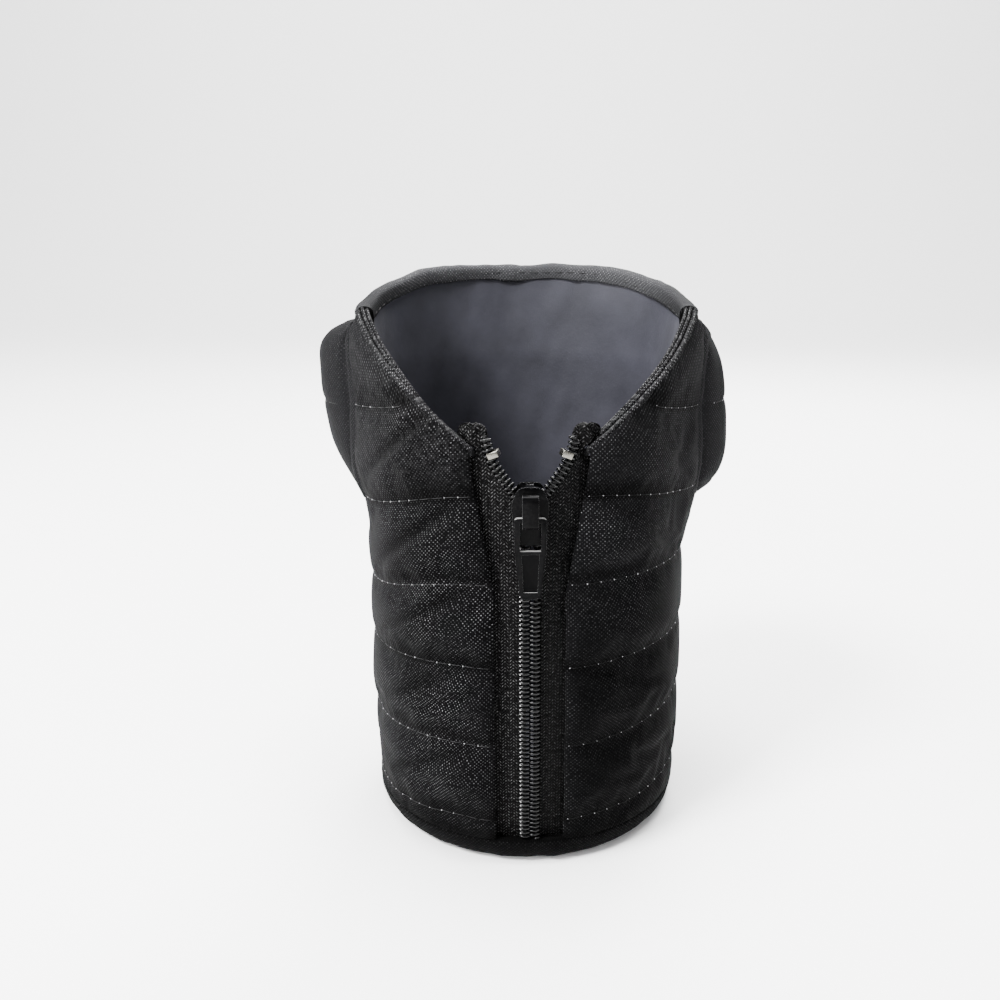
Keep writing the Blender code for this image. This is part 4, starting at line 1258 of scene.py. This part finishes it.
def surface_of(item):
    """Gives a probe that finds a piece's outer surface, looking from outside to the axis."""
    graph = bpy.context.evaluated_depsgraph_get()

    def find(angle, z):
        a = math.radians(angle)
        direction = Vector((math.sin(a), -math.cos(a), 0.0))
        origin = direction * PROBE_START + Vector((0, 0, z))
        hit, place = item.ray_cast(origin, -direction, depsgraph=graph)[:2]
        return place if hit else None

    return find


def stitch_row(find, height, start, end, seen, slip):
    """Run of stitches: threads that dip into the cloth, with a knot showing at each hole."""
    count = int(math.radians(end - start) * SEAM_RADIUS / STITCH_SPACING)
    rng = np.random.default_rng(int(height * 1e5))
    threads = []
    knots = []
    for k in range(count):
        places = []
        for u in STITCH_PLACES:
            angle = mix(start, end, (k + u) / count)
            at = find(angle, height - float(slip(angle, height))) if seen(angle, height) else None
            if at is not None:
                lift = 0.12 * MM * math.sin(math.pi * u) - 0.07 * MM
                places.append(on_ring(angle, math.hypot(at.x, at.y) + lift, at.z))
        if len(places) == len(STITCH_PLACES):
            threads.append(places)
            size = rng.uniform(0.6, 1.2)
            if places[0][0] > 0 or size > 0.85:
                knots.append((places[0], size))
    return threads, knots


def body_shows(angle, z):
    """Whether the body is uncovered at a place: below its top edge and not under an arm."""
    if z > body_top(angle) - 1.0 * MM:
        return False
    side = abs(signed(angle))
    return not (ARM_FRONT_ANGLE + 3 < side < ARM_END_ANGLE + 4 and z > ARM_MIDDLE - ARM_HALF_HEIGHT)


def arm_shows(angle, z):
    return True


def arm_slip(angle, z):
    return ARM_ROW_DROOP


def stitching(body, arms, looks, knot_look):
    threads = []
    knots = []
    find = surface_of(body)
    for height in stitch_rows():
        edge = edge_angle(height) + 1.2
        made = stitch_row(find, height, edge, 360 - edge, body_shows, droop)
        threads += made[0]
        knots += made[1]
    for sign, item in arms:
        ends = sorted((sign * (ARM_FRONT_ANGLE + 3), sign * (ARM_END_ANGLE - 1)))
        made = stitch_row(surface_of(item), stitch_rows()[-1], ends[0], ends[1], arm_shows, arm_slip)
        threads += made[0]
        knots += made[1]
    for side, sign in SIDES:
        mine = [places for places in threads if places[0][0] * sign > 0]
        tubes = []
        for k, places in enumerate(mine):
            tubes.append(tube(places, THREAD_RADIUS, 5, f"thread_{side}_{k}", looks[side]))
        row = join(tubes, "stitch_threads_" + side)
        dress(row, "sleeve", "quilted_fabric")
    beads = []
    for k, (place, size) in enumerate(knots):
        out = place * (1, 1, 0)
        out /= np.linalg.norm(out)
        points = [place - out * 0.25 * MM, place, place + out * 0.15 * MM * size]
        beads.append(tube(points, KNOT_RADIUS * size, 6, f"knot_{k}", knot_look))
    row = join(beads, "stitch_knots")
    dress(row, "sleeve", "quilted_fabric")


# Stage


def light(name, place, target, size, power):
    """Square area light, its size in metres and its power in watts."""
    data = bpy.data.lights.new(name, "AREA")
    data.size = size
    data.energy = power
    item = new_object(name, data)
    item.location = place
    item.rotation_euler = (Vector(target) - Vector(place)).to_track_quat("-Z", "Y").to_euler()


def stage():
    """White floor that curves up into a backdrop, with the lights and a pale world."""
    made, tree, shader = new_material("floor_paint")
    set_inputs(shader, {"Base Color": (0.9, 0.9, 0.9, 1.0), "Roughness": 0.8})
    wide = 4.0
    line = [(-3.0, 0.0), (1.2, 0.0)]
    for t in np.radians(range(10, 91, 10)):
        line.append((1.2 + 0.8 * math.sin(t), 0.8 - 0.8 * math.cos(t)))
    line.append((2.0, 3.5))
    points = [(side * wide, y, z) for y, z in line for side in (-1, 1)]
    faces = [(2 * k, 2 * k + 1, 2 * k + 3, 2 * k + 2) for k in range(len(line) - 1)]
    mesh_piece("floor", points, faces, None, made)
    middle = (0.0, 0.0, 0.06)
    light("key", (-0.48, -0.38, 0.78), middle, 0.25, 32.0)
    light("top", (0.0, 0.1, 1.1), middle, 0.5, 14.0)
    light("glint", (-0.45, -0.65, 0.45), middle, 0.05, 1.5)
    light("side", (-0.85, -0.24, 0.17), middle, 0.14, 10.0)
    light("fill", (0.8, -0.4, 0.5), middle, 0.5, 3.0)
    light("rim", (0.2, 0.6, 0.6), middle, 0.4, 12.0)
    light("backdrop", (0.0, 0.2, 2.2), (0.0, 1.6, 0.6), 1.5, 170.0)
    world = bpy.data.worlds.new("studio")
    world.use_nodes = True
    set_inputs(world.node_tree.nodes["Background"], {"Color": (1.0, 1.0, 1.0, 1.0), "Strength": 0.35})
    bpy.context.scene.world = world


# The photo's view: the camera's distance from the axis, height, pitch and focal length in pixels
CAMERA_DISTANCE = 215.5 * MM
CAMERA_HEIGHT = 133.9 * MM
CAMERA_PITCH = 19.82
CAMERA_TURN = 1.2
FOCAL_PIXELS = 933.3
CENTRE_PIXEL = (526.3, 577.2)
FRAME_PIXELS = 1000.0


def camera():
    data = bpy.data.cameras.new("camera")
    data.sensor_width = 36.0
    data.lens = FOCAL_PIXELS * data.sensor_width / FRAME_PIXELS
    data.shift_x = (FRAME_PIXELS / 2 - CENTRE_PIXEL[0]) / FRAME_PIXELS
    data.shift_y = (CENTRE_PIXEL[1] - FRAME_PIXELS / 2) / FRAME_PIXELS
    data.clip_start = 0.01
    item = new_object("camera", data)
    turn = math.radians(-CAMERA_TURN)
    item.location = (CAMERA_DISTANCE * math.sin(turn), -CAMERA_DISTANCE * math.cos(turn), CAMERA_HEIGHT)
    item.rotation_euler = (math.radians(90 - CAMERA_PITCH), 0.0, turn)
    bpy.context.scene.camera = item


def build():
    # Weaves: thread pitch, depth of the bump and strength of the specks, the painted glints, after the
    # colours
    quilt = woven("quilted_cloth", FABRIC_DARK, FABRIC_GLINT, WEAVE_PITCH, WEAVE_DEPTH)
    bound = woven("binding_cloth", scaled(FABRIC_DARK, 3), FABRIC_GLINT, WEAVE_PITCH, 0.08 * MM, 1.1)
    bands = {
        "left": herringbone("zip_band_cloth", TAPE_DARK, TAPE_GLINT),
        "right": herringbone("zip_band_shaded", TAPE_DARK, scaled(TAPE_GLINT, 0.5)),
    }
    # Gloss: roughness, metallic, scratches and specular level after the colour
    nylon = glossy("coil_nylon", COIL_COLOUR, 0.07, 0.0, 0.02, 0.17)
    black = glossy("black_paint", METAL_COLOUR, 0.12, 0.0, 0.03, 0.018)
    silver = glossy("bare_metal", SILVER_COLOUR, 0.30, 1.0, 0.2)
    threads = {
        "left": thread_material("dim_thread", scaled(THREAD_COLOUR, 0.09)),
        "right": thread_material("dark_thread", scaled(THREAD_COLOUR, 0.015)),
    }
    knot = thread_material("pale_thread", THREAD_COLOUR)
    body = quilted_body(quilt)
    collar(quilt, woven("folded_cloth", FOLD_PAINTED_LIGHT, FABRIC_GLINT, WEAVE_PITCH, WEAVE_DEPTH, 0.8))
    lining(smooth_lining("lining_cloth"))
    hem(quilt)
    base(bound)
    arms = []
    for side, sign in SIDES:
        neckline_lip(side, sign, bound)
        arms.append((sign, arm(side, sign, quilt, bound, threads["right"])))
        tape(side, sign, bands[side])
        coil(side, sign, nylon, threads["right"])
        stop = "top_stop_" + side
        softened(stop, "zip_stop_" + side, silver, "sleeve", "silver_metal", 0.4 * MM, 0.72)
    # Painted highlights for the slider and the pull: a lighter paint for rounded edges and sloping
    # fronts, another for faces that look up
    painted_shine = glossy("edge_highlight_paint", (0.10, 0.10, 0.102), 0.3, 0.0, 0.05, 0.12)
    shine_and_wear = glossy("top_highlight_paint", (0.13, 0.13, 0.128), 0.25, 0.0, 0.05, 0.3)
    softened("slider", "zip_slider", black, "slider", "black_metal", 0.20 * MM, edge_look=painted_shine)
    softened("pull_tab", "zip_pull", black, "pull_tab", "black_metal", 0.25 * MM, 1.0, painted_shine, shine_and_wear)
    stitching(body, arms, threads, knot)
    fold_stitches(threads["left"])
    # Pale thread for the chain's stitches: a painted highlight
    coil_stitches(thread_material("stitch_glint_thread", (0.75, 0.75, 0.75)))
    stage()
    camera()


build()
